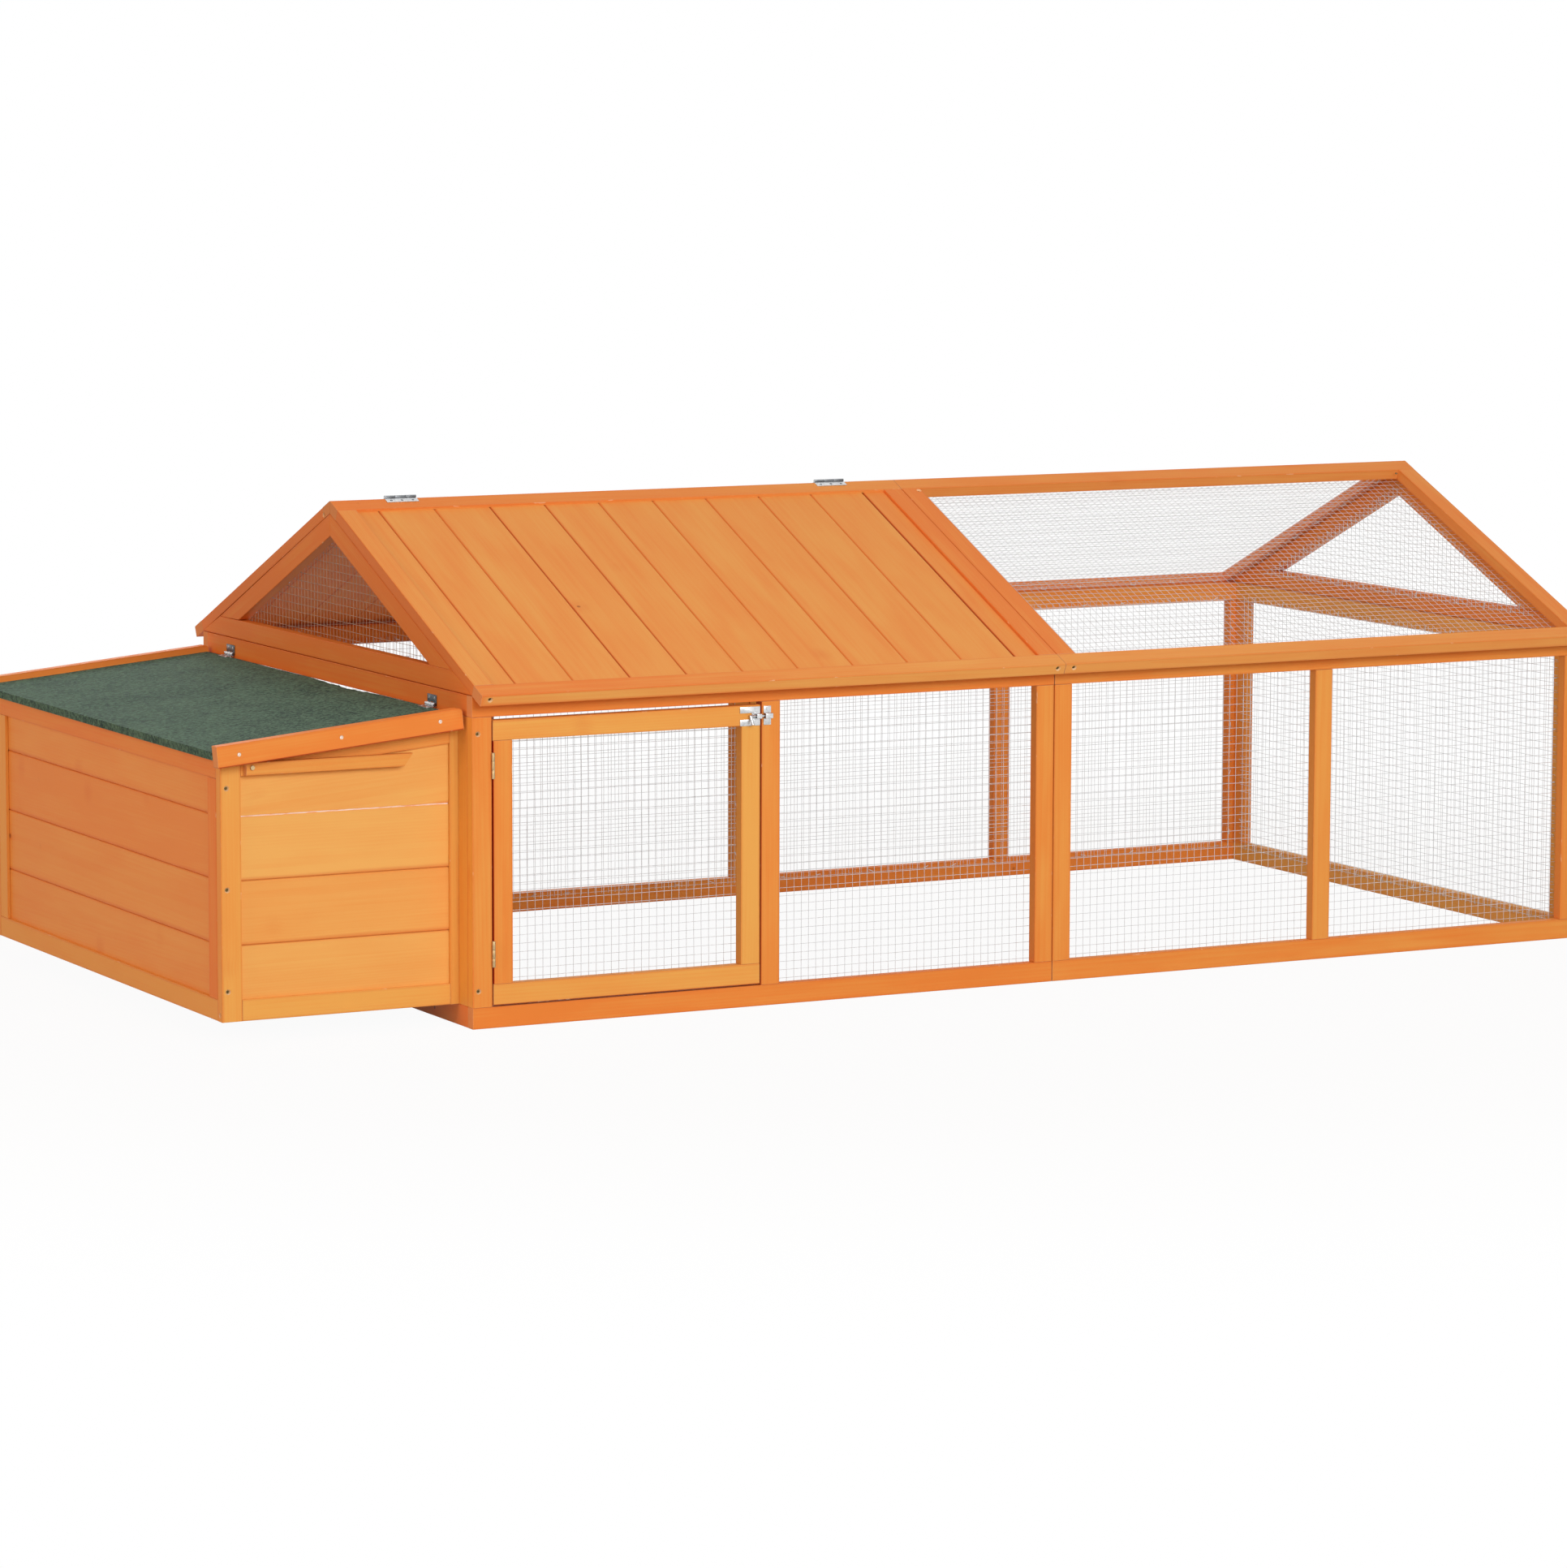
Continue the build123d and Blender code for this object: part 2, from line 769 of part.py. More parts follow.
with BuildPart() as nest_end_boards:
    start = (nest_left + board_recess, end_field_half + board_fit, 0)
    with BuildSketch(Plane(origin=start, x_dir=(0, 0, 1), z_dir=(0, -1, 0))):
        board_row(board_edges(field_base - board_fit, end_field_top + board_fit), -board_thick, 0)
    extrude(amount=2 * (end_field_half + board_fit))
save(nest_end_boards.part, "nest_end_boards")

with BuildPart() as nest_floor:
    stick(
        (nest_left + stick_thick, -nest_inner_half, nest_base),
        (nest_inner_end, nest_inner_half, nest_base + floor_thick),
    )
save(nest_floor.part, "nest_floor")

# Nest lid, drawn in its own section: local X up the slope to the wall, local Y out of the felt
lid_section = Plane(
    origin=(house_left, 0, lid_top_height),
    x_dir=(lid_cos, 0, lid_sin),
    z_dir=(0, -1, 0),
)
lid_outer = -(lid_reach - batten_rise * lid_sin) / lid_cos
lid_inner = -lid_wall_gap / lid_cos
batten_inner = -batten_wall_gap / lid_cos
lid_half = half_depth - lid_front_inset - stick_thick
lid_under = -felt_thick - lid_board_thick

with BuildPart() as nest_lid_board:
    with BuildSketch(lid_section):
        Polygon(
            (lid_outer + felt_thick, -felt_thick),
            (lid_inner, -felt_thick),
            (lid_inner, lid_under),
            (lid_outer + felt_thick, lid_under),
            align=None,
        )
    extrude(amount=lid_half, both=True)
save(nest_lid_board.part, "nest_lid_board")

with BuildPart() as nest_lid_felt:
    with BuildSketch(lid_section):
        Polygon(
            (lid_outer, 0),
            (lid_inner, 0),
            (lid_inner, -felt_thick),
            (lid_outer + felt_thick, -felt_thick),
            (lid_outer + felt_thick, lid_under),
            (lid_outer, lid_under),
            align=None,
        )
    extrude(amount=lid_half, both=True)
save(nest_lid_felt.part, "nest_lid_felt")

with BuildPart() as nest_lid_battens:
    for side in (-1, 1):
        with BuildSketch(lid_section.offset(-side * lid_half)):
            with BuildLine():
                low = batten_rise - stick_width
                turn = batten_inner - batten_round
                Line((batten_inner, batten_rise - batten_round), (batten_inner, low))
                Line((batten_inner, low), (lid_outer, low))
                Line((lid_outer, low), (lid_outer, batten_rise))
                Line((lid_outer, batten_rise), (turn, batten_rise))
                RadiusArc((turn, batten_rise), (batten_inner, batten_rise - batten_round), batten_round)
            make_face()
        extrude(amount=-side * stick_thick)
save(nest_lid_battens.part, "nest_lid_battens")

# Lid hinges: one leaf on the end wall, the other on the felt
lid_axis_x = house_left - lid_axis_stand
lid_axis_height = lid_top_height - lid_axis_stand * lid_tan + lid_knuckle_stand / lid_cos
lid_hinge_sides = (lid_hinge_front_inset - half_depth, half_depth - lid_hinge_rear_inset)
lid_hinge_centres = [(lid_axis_x, y, lid_axis_height) for y in lid_hinge_sides]

with BuildPart() as lid_hinge_wall_leaves:
    for centre in lid_hinge_centres:
        add(hinge_leaf(
            centre, (0, 0, 1), (-1, 0, 0), lid_hinge_length, lid_leaf_width,
            lid_axis_stand, lid_knuckle_radius, leaf_thick, True,
        ))
save(lid_hinge_wall_leaves.part, "lid_hinge_wall_leaves")

with BuildPart() as lid_hinge_lid_leaves:
    for centre in lid_hinge_centres:
        add(hinge_leaf(
            centre, (-lid_cos, 0, -lid_sin), (-lid_sin, 0, lid_cos), lid_hinge_length, lid_leaf_width,
            lid_knuckle_stand, lid_knuckle_radius, leaf_thick, False,
        ))
save(lid_hinge_lid_leaves.part, "lid_hinge_lid_leaves")

# Lid prop and the screw that it turns on
prop_left = pivot_x - prop_tail
prop_right = prop_left + prop_length
prop_top = pivot_height + prop_pivot_drop
prop_face = Plane(origin=(0, pivot_y, 0), x_dir=(1, 0, 0), z_dir=(0, -1, 0))

with BuildPart() as lid_prop:
    with BuildSketch(prop_face):
        Polygon(
            (prop_left, prop_top - prop_width),
            (prop_right - prop_bevel, prop_top - prop_width),
            (prop_right, prop_top),
            (prop_left, prop_top),
            align=None,
        )
        with Locations((pivot_x, pivot_height)):
            Circle(prop_screw_radius + pin_play, mode=Mode.SUBTRACT)
    extrude(amount=prop_thick)
save(lid_prop.part, "lid_prop")

head_seat = prop_thick + prop_play
pivot_screw = turned([
    (0, -prop_play - prop_screw_depth),
    (prop_screw_radius, -prop_play - prop_screw_depth),
    (prop_screw_radius, head_seat),
    (prop_head_radius, head_seat),
    (prop_head_radius, head_seat + prop_head_height),
    (0, head_seat + prop_head_height),
])
with BuildPart() as prop_pivot_screw:
    with Locations(Plane(origin=(pivot_x, pivot_y, pivot_height), z_dir=(0, -1, 0))):
        add(pivot_screw)
save(prop_pivot_screw.part, "prop_pivot_screw")

# Barrel bolt on the door, and its keeper on the door post
bolt_height = door_top - bolt_drop
bolt_right = door_right - bolt_edge
bolt_left = bolt_right - bolt_plate_length
rod_axis_stand = bolt_plate_thick + rod_stand + rod_radius
rod_y = -half_depth - rod_axis_stand
keeper_left = post_left + keeper_inset


def plate(left, right, mode=Mode.ADD, height=bolt_plate_height):
    """A thin plate on the wall's front, level with the rod, for the piece being built."""
    stick(
        (left, -half_depth - bolt_plate_thick, bolt_height - height / 2),
        (right, -half_depth, bolt_height + height / 2),
        mode=mode,
    )


def strap(left, right, play):
    """A bent strap over the rod."""
    inner = rod_radius + play
    outer = inner + strap_wall
    section = Plane(origin=(right, -half_depth, bolt_height), x_dir=(0, -1, 0), z_dir=(-1, 0, 0))
    with BuildPart() as bent:
        with BuildSketch(section) as outline:
            with Locations(((rod_axis_stand + outer) / 2, 0)):
                Rectangle(rod_axis_stand + outer, 2 * outer)
            fillet(outline.vertices().sort_by(Axis.X)[-2:], radius=strap_wall)
            with Locations(((rod_axis_stand + inner) / 2, 0)):
                Rectangle(rod_axis_stand + inner, 2 * inner, mode=Mode.SUBTRACT)
        extrude(amount=right - left)
    return bent.part


with BuildPart() as bolt_base:
    plate(bolt_left, bolt_right)
    plate(bolt_left, bolt_left + window_length, Mode.SUBTRACT, window_height)
    add(strap(bolt_right - strap_width, bolt_right, rod_play))
save(bolt_base.part, "bolt_base")

with BuildPart() as bolt_keeper:
    keeper_right = keeper_left + keeper_length
    plate(keeper_left, keeper_right)
    plate(keeper_left, keeper_right, Mode.SUBTRACT, 2 * (rod_radius + keeper_play))
    add(strap(keeper_left, keeper_right, keeper_play))
save(bolt_keeper.part, "bolt_keeper")

with BuildPart() as bolt_rod:
    knob_x = bolt_right - knob_inset
    rod_start = knob_x - knob_radius
    rod_tip = keeper_left - rod_tip_gap
    with BuildSketch(Plane(origin=(rod_start, rod_y, bolt_height), x_dir=(0, 1, 0), z_dir=(1, 0, 0))):
        Circle(rod_radius)
    extrude(amount=rod_tip - rod_start)
    lean = radians(knob_lean)
    knob_way = (0, -sin(lean), -cos(lean))
    with BuildSketch(Plane(origin=(knob_x, rod_y, bolt_height), x_dir=(1, 0, 0), z_dir=knob_way)):
        Circle(knob_radius)
    extrude(amount=knob_length)
save(bolt_rod.part, "bolt_rod")
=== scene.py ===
"""Looks of a wooden chicken coop with a boarded house bay, a wire run bay and a nest box.

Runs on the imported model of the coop. Lengths are in metres, Z is up and the front faces -Y.
"""
import json
import math
import random

import bmesh
import bpy
from bpy.props import FloatProperty, FloatVectorProperty, IntProperty, PointerProperty
from mathutils import Matrix, Vector, noise

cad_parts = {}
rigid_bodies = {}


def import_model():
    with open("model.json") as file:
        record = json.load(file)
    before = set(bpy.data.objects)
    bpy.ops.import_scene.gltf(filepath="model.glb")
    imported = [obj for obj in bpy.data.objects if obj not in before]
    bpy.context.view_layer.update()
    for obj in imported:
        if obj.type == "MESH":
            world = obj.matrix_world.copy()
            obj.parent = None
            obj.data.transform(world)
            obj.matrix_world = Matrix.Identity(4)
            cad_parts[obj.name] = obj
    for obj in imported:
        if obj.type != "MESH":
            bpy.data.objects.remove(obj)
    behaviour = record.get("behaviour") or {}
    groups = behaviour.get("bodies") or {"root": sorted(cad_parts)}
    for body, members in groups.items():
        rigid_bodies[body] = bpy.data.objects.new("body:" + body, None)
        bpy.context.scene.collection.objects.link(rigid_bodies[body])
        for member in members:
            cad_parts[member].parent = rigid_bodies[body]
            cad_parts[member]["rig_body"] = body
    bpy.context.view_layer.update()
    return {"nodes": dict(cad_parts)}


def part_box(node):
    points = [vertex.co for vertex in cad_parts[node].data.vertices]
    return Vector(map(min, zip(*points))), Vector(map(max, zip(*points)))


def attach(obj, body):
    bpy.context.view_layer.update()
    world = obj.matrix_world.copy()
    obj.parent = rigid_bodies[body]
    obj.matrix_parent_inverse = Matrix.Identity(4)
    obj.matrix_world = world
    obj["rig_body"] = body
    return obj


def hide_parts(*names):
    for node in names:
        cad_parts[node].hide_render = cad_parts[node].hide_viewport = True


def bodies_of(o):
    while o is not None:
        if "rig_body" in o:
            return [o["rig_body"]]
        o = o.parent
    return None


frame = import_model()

bl_info = {
    "name": "Chicken Coop",
    "version": (1, 0, 0),
    "blender": (4, 5, 0),
    "location": "View3D > Sidebar > Coop",
    "description": "Dresses the packed chicken coop in stained wood, wire mesh, felt and zinc",
    "category": "Object",
}


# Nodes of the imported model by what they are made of

def nodes_named(*endings):
    return [node for node in frame["nodes"] if node.endswith(endings)]


stick_nodes = nodes_named("_rails", "_stiles", "_frame", "_battens", "_prop")
board_nodes = nodes_named("_planks", "_boards", "_floor", "_lid_board")
net_nodes = sorted(nodes_named("_mesh"))
hinge_nodes = nodes_named("_leaves")

# Faces of the coop that other pieces are placed by
(house_left, front_y, _), (_, _, wall_top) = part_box("house_front_rails")
(run_left, _, _), (coop_right, _, _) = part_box("run_front_rails")
(nest_left, nest_front, _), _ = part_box("nest_front_frame")
coop_middle = Vector(((house_left + coop_right) / 2, 0, wall_top * 0.6))
roof_pitch = math.radians(23.8)
upright = 1e5  # rise of a net's sides that leaves it a rectangle
hidden_edge = 0.0042  # shift of the end planks' grain, so that pooled stain shows beside the frame


# Screws in the wood, by the node that they hold: place, facing and turn of the cross recess

def spun(places, facing, name):
    """Spots that share a facing, each with a turn of its own."""
    draw = random.Random(name)
    return [(Vector(place), Vector(facing), draw.uniform(0, math.pi)) for place in places]


def roof_spots(node):
    """Screws in a roof panel's eave edge, and on the wire panels also near the ridge."""
    low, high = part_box(node)
    side = -1 if low.y < -0.1 else 1
    slope = Vector((0, side * math.cos(roof_pitch), -math.sin(roof_pitch)))
    outward = Vector((0, side * math.sin(roof_pitch), math.cos(roof_pitch)))
    ridge = Vector((0, 0, high.z))
    below_top, below_ridge = 0.0075, 0.0395
    eave = ridge + slope * (max(-low.y, high.y) / math.cos(roof_pitch)) - outward * below_top
    spots = spun([eave + Vector((x, 0, 0)) for x in (low.x + 0.0145, high.x - 0.0125)], slope, node)
    if node.startswith("run"):
        upper = ridge + slope * below_ridge
        spots += spun([upper + Vector((x, 0, 0)) for x in (low.x + 0.027, high.x - 0.041)], outward, node)
    return spots


screw_spots = {}
post_inset = 0.0095
for panel, across, side in (
    ("house_front_stiles", house_left + post_inset, -1), ("run_front_stiles", coop_right - post_inset, -1),
    ("house_rear_frame", house_left + post_inset, 1), ("run_rear_frame", coop_right - post_inset, 1),
):
    posts = [(across, -side * front_y, z) for z in (0.057, 0.443)]
    screw_spots[panel] = spun(posts, (0, side, 0), " ".join(panel.split("_")[:2]))
for panel, side in (("nest_front_frame", -1), ("nest_rear_frame", 1)):
    posts = [(nest_left + post_inset, -side * nest_front, z) for z in (0.077, 0.228, 0.378)]
    foot = (nest_left, side * (-nest_front - 0.009), 0.0415)
    screw_spots[panel] = spun(posts, (0, side, 0), panel) + spun([foot], (-1, 0, 0), panel)
screw_spots["nest_lid_battens"] = []
for side in (-1, 1):
    face = -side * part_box("nest_lid_battens")[0].y
    places = [(nest_left + x, face, z) for x, z in ((0.018, 0.431), (0.180, 0.4475), (0.339, 0.4625))]
    screw_spots["nest_lid_battens"] += spun(places, (0, side, 0), f"batten {side}")
for bay in ("house", "run"):
    for side in ("front", "rear"):
        screw_spots[f"{bay}_roof_{side}_frame"] = roof_spots(f"{bay}_roof_{side}_frame")
screw_spots["house_roof_rear_frame"] += spun([(house_left, 0.0237, 0.728)], (-1, 0, 0), "apex")


def screw_kind(node):
    """Finish of a node's screws, and widths of hole and head and depth of head, by the head's size."""
    if node == "nest_lid_battens":
        return "White zinc", 1.05, 0.86, 0.1
    return "Yellow zinc", 1.35, 0.74, 0.4


# How deep the stain is on each stick of the nodes where it differs most, from the left or the front.
# Some depths are painted shade or painted light: the inside roof planks, the house's end rails by the nest
# and the rear right posts are deeper as painted shade, and the nest's inner stile and rear post
# are paler as painted light where the lid and the wall shade them.
pale, light, medium, deep, deepest = 0.0, 0.25, 0.5, 0.75, 1.05
stain_and_shade_depth = {
    "door_rails": (light, light),
    "door_stiles": (deep, pale),
    "house_front_rails": (deepest, deepest),
    "house_front_stiles": (deep, deep, deep),
    "house_gable_frame": (deepest, deepest, deepest),
    "house_end_rails": (deepest, deepest),
    "house_roof_front_frame": (medium, light, medium, deepest),
    "house_roof_front_planks": [medium] * 10 + [deep],
    "house_roof_rear_planks": [deepest] * 11,
    "lid_prop": (medium,),
    "nest_end_frame": (deep, deepest, pale, pale),
    "nest_end_boards": (deep, deep, deep, deepest),
    "nest_front_frame": (light, medium, pale, pale),
    "nest_front_boards": (light, medium, pale, light),
    "nest_lid_battens": (deepest, deepest),
    "run_end_frame": (pale, pale, light, deep),
    "run_front_rails": (deep, deep),
    "run_front_stiles": (deep, medium, deep),
    "run_gable_frame": (deep, deepest, deepest),
    "run_rear_frame": (light, deepest, deepest, deep, deepest),
    "run_roof_front_frame": (deepest, medium, deep, deep),
    "run_roof_rear_frame": (deepest, deepest, deepest, deepest),
}

# How dark the joint is on a stick's low side, by the stick's number in its node: stain in the roof planks'
# joints, and painted shade in the gaps round the door and under the lid's batten
joint_stain_and_shade = {
    "house_roof_front_planks": {1: 0.25, 3: 0.5, 4: 0.3, 10: 0.6},
    "door_stiles": {0: 1.0},
    "door_rails": {0: 0.8},
    "house_front_stiles": {1: 0.6},
    "nest_lid_battens": {0: 0.8},
}


# Settings

def seen(red, green, blue):
    """A colour as the eye sees it, from 0 to 255, turned into light."""
    parts = [part / 255 for part in (red, green, blue)]
    return [p / 12.92 if p <= 0.04045 else ((p + 0.055) / 1.055) ** 2.4 for p in parts]


def colour(name, description, red, green, blue):
    """A colour setting."""
    return FloatVectorProperty(
        name=name, description=description, subtype="COLOR", size=3, min=0, max=1,
        default=seen(red, green, blue),
    )


def length(name, description, metres):
    """A length setting."""
    return FloatProperty(
        name=name, description=description, default=metres, min=0, precision=4,
        subtype="DISTANCE", unit="LENGTH",
    )


def angle(name, description, degrees):
    """An angle setting."""
    return FloatProperty(
        name=name, description=description, default=math.radians(degrees), subtype="ANGLE", unit="ROTATION"
    )


def power(name, description, watts):
    """A setting for a lamp's power."""
    return FloatProperty(name=name, description=description, default=watts, subtype="POWER", unit="POWER")


class CoopWood(bpy.types.PropertyGroup):
    """Stain, grain, edges and open joints of the sticks and boards"""

    frame_light: colour("Frame light", "Palest stain on the sticks", 241, 184, 94)
    frame_dark: colour("Frame dark", "Deepest stain on the sticks", 238, 144, 63)
    roof_light: colour("Roof light", "Palest stain on the roof", 239, 184, 101)
    roof_dark: colour("Roof dark", "Deepest stain on the roof", 236, 144, 71)
    board_light: colour("Board light", "Palest stain on the boards", 244, 191, 106)
    board_dark: colour("Board dark", "Deepest stain on the boards", 240, 162, 82)
    pooled: colour("Pooled stain", "Stain that gathered along edges and joints", 216, 98, 40)
    # Dark joint: stain in the roof planks' joints, and painted shade in the gaps round the door and under
    # the lid's batten
    joint: colour("Dark joint", "Stain deep in an open joint", 165, 44, 10)
    knot: colour("Knot", "Heart of a knot", 150, 78, 36)
    raw: colour("Raw wood", "Bare wood in screw holes and where an edge is rubbed", 248, 220, 178)
    bare: colour("Bare tongue", "Unstained tongue in an open joint", 252, 236, 224)
    end: colour("End grain", "Sawn ends of the sticks", 226, 178, 132)
    long_edge: length("Planed edge", "Rounding along a stick's length", 0.001)
    sawn_edge: length("Sawn edge", "Rounding round a stick's ends", 0.0003)
    gable_gap: length("Gable gap", "Open joint under a gable and under the rear roof", 0.0009)
    bay_gap: length("Bay gap", "How much is planed off each bay where they meet", 0.0007)
    plank_gap: length("Plank gap", "Open joint before the last roof plank", 0.0009)
    roof_close: length("Roof joint", "How far the run roof reaches towards the house roof", 0.0013)
    door_slit: length("Door slit", "How much is planed off the door's top at the hinges", 0.0017)
    ring_space: length("Ring spacing", "Distance between year rings", 0.0036)


class CoopWire(bpy.types.PropertyGroup):
    """Welded mesh of the walls, the gables and the run roof"""

    pitch: length("Pitch", "Distance between wires", 0.0127)
    wire: length("Wire", "Diameter of the wire in the walls and gables", 0.00072)
    roof_wire: length("Roof wire", "Diameter of the lighter wire on the run roof", 0.00058)
    ripple: length("Ripple", "How far the net strays from its plane", 0.0016)
    zinc: colour("Zinc", "Galvanised wire", 213, 213, 213)
    # Painted shade: the house gable's wire is darker and browner, for the shade it lies in and the wood it
    # reflects
    dull: colour("Gable wire shade", "Weathered wire in the house gable", 200, 180, 160)
    staple_space: length("Staple spacing", "Distance between staples along an edge", 0.085)
    staple: length("Staple", "Width of a staple's crown", 0.009)


class CoopMetal(bpy.types.PropertyGroup):
    """Hinges, bolt and screws"""

    bright: colour("Bright zinc", "Plating of the hinges and the bolt", 226, 227, 228)
    # The yellow zinc is partly the plating's own colour and partly painted shade on heads that sit deep in
    # their holes
    yellow: colour("Yellow zinc", "Plating of the wood screws", 124, 104, 62)
    white: colour("White zinc", "Plating of the lid's screws", 250, 238, 228)
    tan: colour("Tan zinc", "Plating of the door hinges", 206, 178, 132)
    # Painted dark reflection: dark grey mixed into the hinge leaves, knuckles and bolt plates, and the
    # colour of the ridge hinges' screws
    tarnish: colour("Tarnish", "Dull plates and knuckles", 74, 80, 86)
    eased: length("Eased edge", "Rounding of the hinge and bolt plates", 0.00025)
    screw: length("Screw head", "Diameter of a wood screw's head", 0.0062)
    small_screw: length("Small screw head", "Diameter of a hinge screw's head", 0.0042)


class CoopFelt(bpy.types.PropertyGroup):
    """Mineral felt on the nest lid"""

    dark: colour("Dark granules", "Darkest granules of the felt", 12, 42, 36)
    light: colour("Light granules", "Palest granules of the felt", 96, 138, 121)
    swell: length("Swell", "How far the felt lifts and sinks", 0.0006)
    fineness: IntProperty(
        name="Fineness", description="Cells along the felt's long side", default=120, min=4, max=200
    )


class CoopStage(bpy.types.PropertyGroup):
    """Floor, lamps and camera"""

    eye: FloatVectorProperty(
        name="Camera place", description="Where the camera stands", size=3,
        subtype="XYZ", unit="LENGTH", default=(-4.3984, -8.3580, 1.4843),
    )
    turn: angle("Turn", "Camera's turn about the upright axis", -27.75)
    rise: angle("Rise", "How far the camera looks down", 7.37)
    roll: angle("Roll", "Camera's tilt about its own axis", 0.18)
    lens: FloatProperty(
        name="Lens", description="Focal length on a 36 mm wide sensor", default=134.571,
        subtype="DISTANCE_CAMERA", unit="CAMERA",
    )
    key: power("Key lamp", "Power of the large lamp in front", 228.0)
    top: power("Top lamp", "Power of the lamp overhead", 32.0)
    side: power("Side lamp", "Power of the lamp on the left", 88.0)
    back: power("Back lamp", "Power of the lamp behind", 70.0)
    ambient: FloatProperty(
        name="Ambient", description="Even light from all round", default=0.4, min=0, max=2
    )
    shade: colour("Shade", "Tint of the even light and of the side lamp", 255, 200, 162)
    floor: colour("Floor", "Pale floor", 212, 212, 212)


# Building node trees

class Bench:
    """Lays nodes into a tree and joins them up."""

    def __init__(self, tree):
        self.tree = tree

    def node(self, kind, feeds=None, **settings):
        """A new node with its settings made and its inputs fed."""
        made = self.tree.nodes.new(kind)
        for name, value in settings.items():
            setattr(made, name, value)
        for socket, value in (feeds or {}).items():
            self.feed(made.inputs[socket], value)
        return made

    def first(self, kind, feeds=None, **settings):
        """The first output of a new node."""
        return self.node(kind, feeds, **settings).outputs[0]

    def feed(self, socket, value):
        if isinstance(value, bpy.types.NodeSocket):
            self.tree.links.new(value, socket)
        else:
            socket.default_value = value

    def math(self, operation, *values, clamp=False):
        return self.first("ShaderNodeMath", dict(enumerate(values)), operation=operation, use_clamp=clamp)

    def times(self, one, other):
        return self.math("MULTIPLY", one, other)

    def minus(self, one, other):
        return self.math("SUBTRACT", one, other)

    def ratio(self, one, other):
        return self.math("DIVIDE", one, other)

    def times_plus(self, one, other, more):
        return self.math("MULTIPLY_ADD", one, other, more)

    def vector(self, operation, *values):
        made = self.node("ShaderNodeVectorMath", dict(enumerate(values)), operation=operation)
        return made.outputs["Value" if operation == "LENGTH" else "Vector"]

    def split(self, vector):
        return self.node("ShaderNodeSeparateXYZ", {0: vector}).outputs

    def join(self, x, y, z):
        return self.first("ShaderNodeCombineXYZ", {0: x, 1: y, 2: z})

    def ramp(self, value, start, end, low=0.0, high=1.0):
        feeds = {"Value": value, "From Min": start, "From Max": end, "To Min": low, "To Max": high}
        return self.first("ShaderNodeMapRange", feeds, interpolation_type="SMOOTHSTEP")

    def blend(self, share, under, over):
        return self.node("ShaderNodeMix", {0: share, 6: under, 7: over}, data_type="RGBA").outputs[2]

    def noise(self, vector, stretch, detail, roughness):
        feeds = {"Vector": self.vector("MULTIPLY", vector, stretch), "Scale": 1.0}
        return self.first("ShaderNodeTexNoise", {**feeds, "Detail": detail, "Roughness": roughness})

    def attribute(self, name):
        return self.node("ShaderNodeAttribute", attribute_name=name).outputs

    def place(self):
        return self.node("ShaderNodeTexCoord").outputs["Object"]


def opened(name, kind, inputs, outputs):
    """A new node tree with sockets listed by type: its bench, what goes in and what comes out."""
    tree = bpy.data.node_groups.new(name, kind)
    for way, sockets in (("INPUT", inputs), ("OUTPUT", outputs)):
        for socket, labels in sockets.items():
            for label in labels:
                tree.interface.new_socket(label, in_out=way, socket_type=f"NodeSocket{socket}")
    bench = Bench(tree)
    return bench, bench.node("NodeGroupInput").outputs, bench.node("NodeGroupOutput").inputs


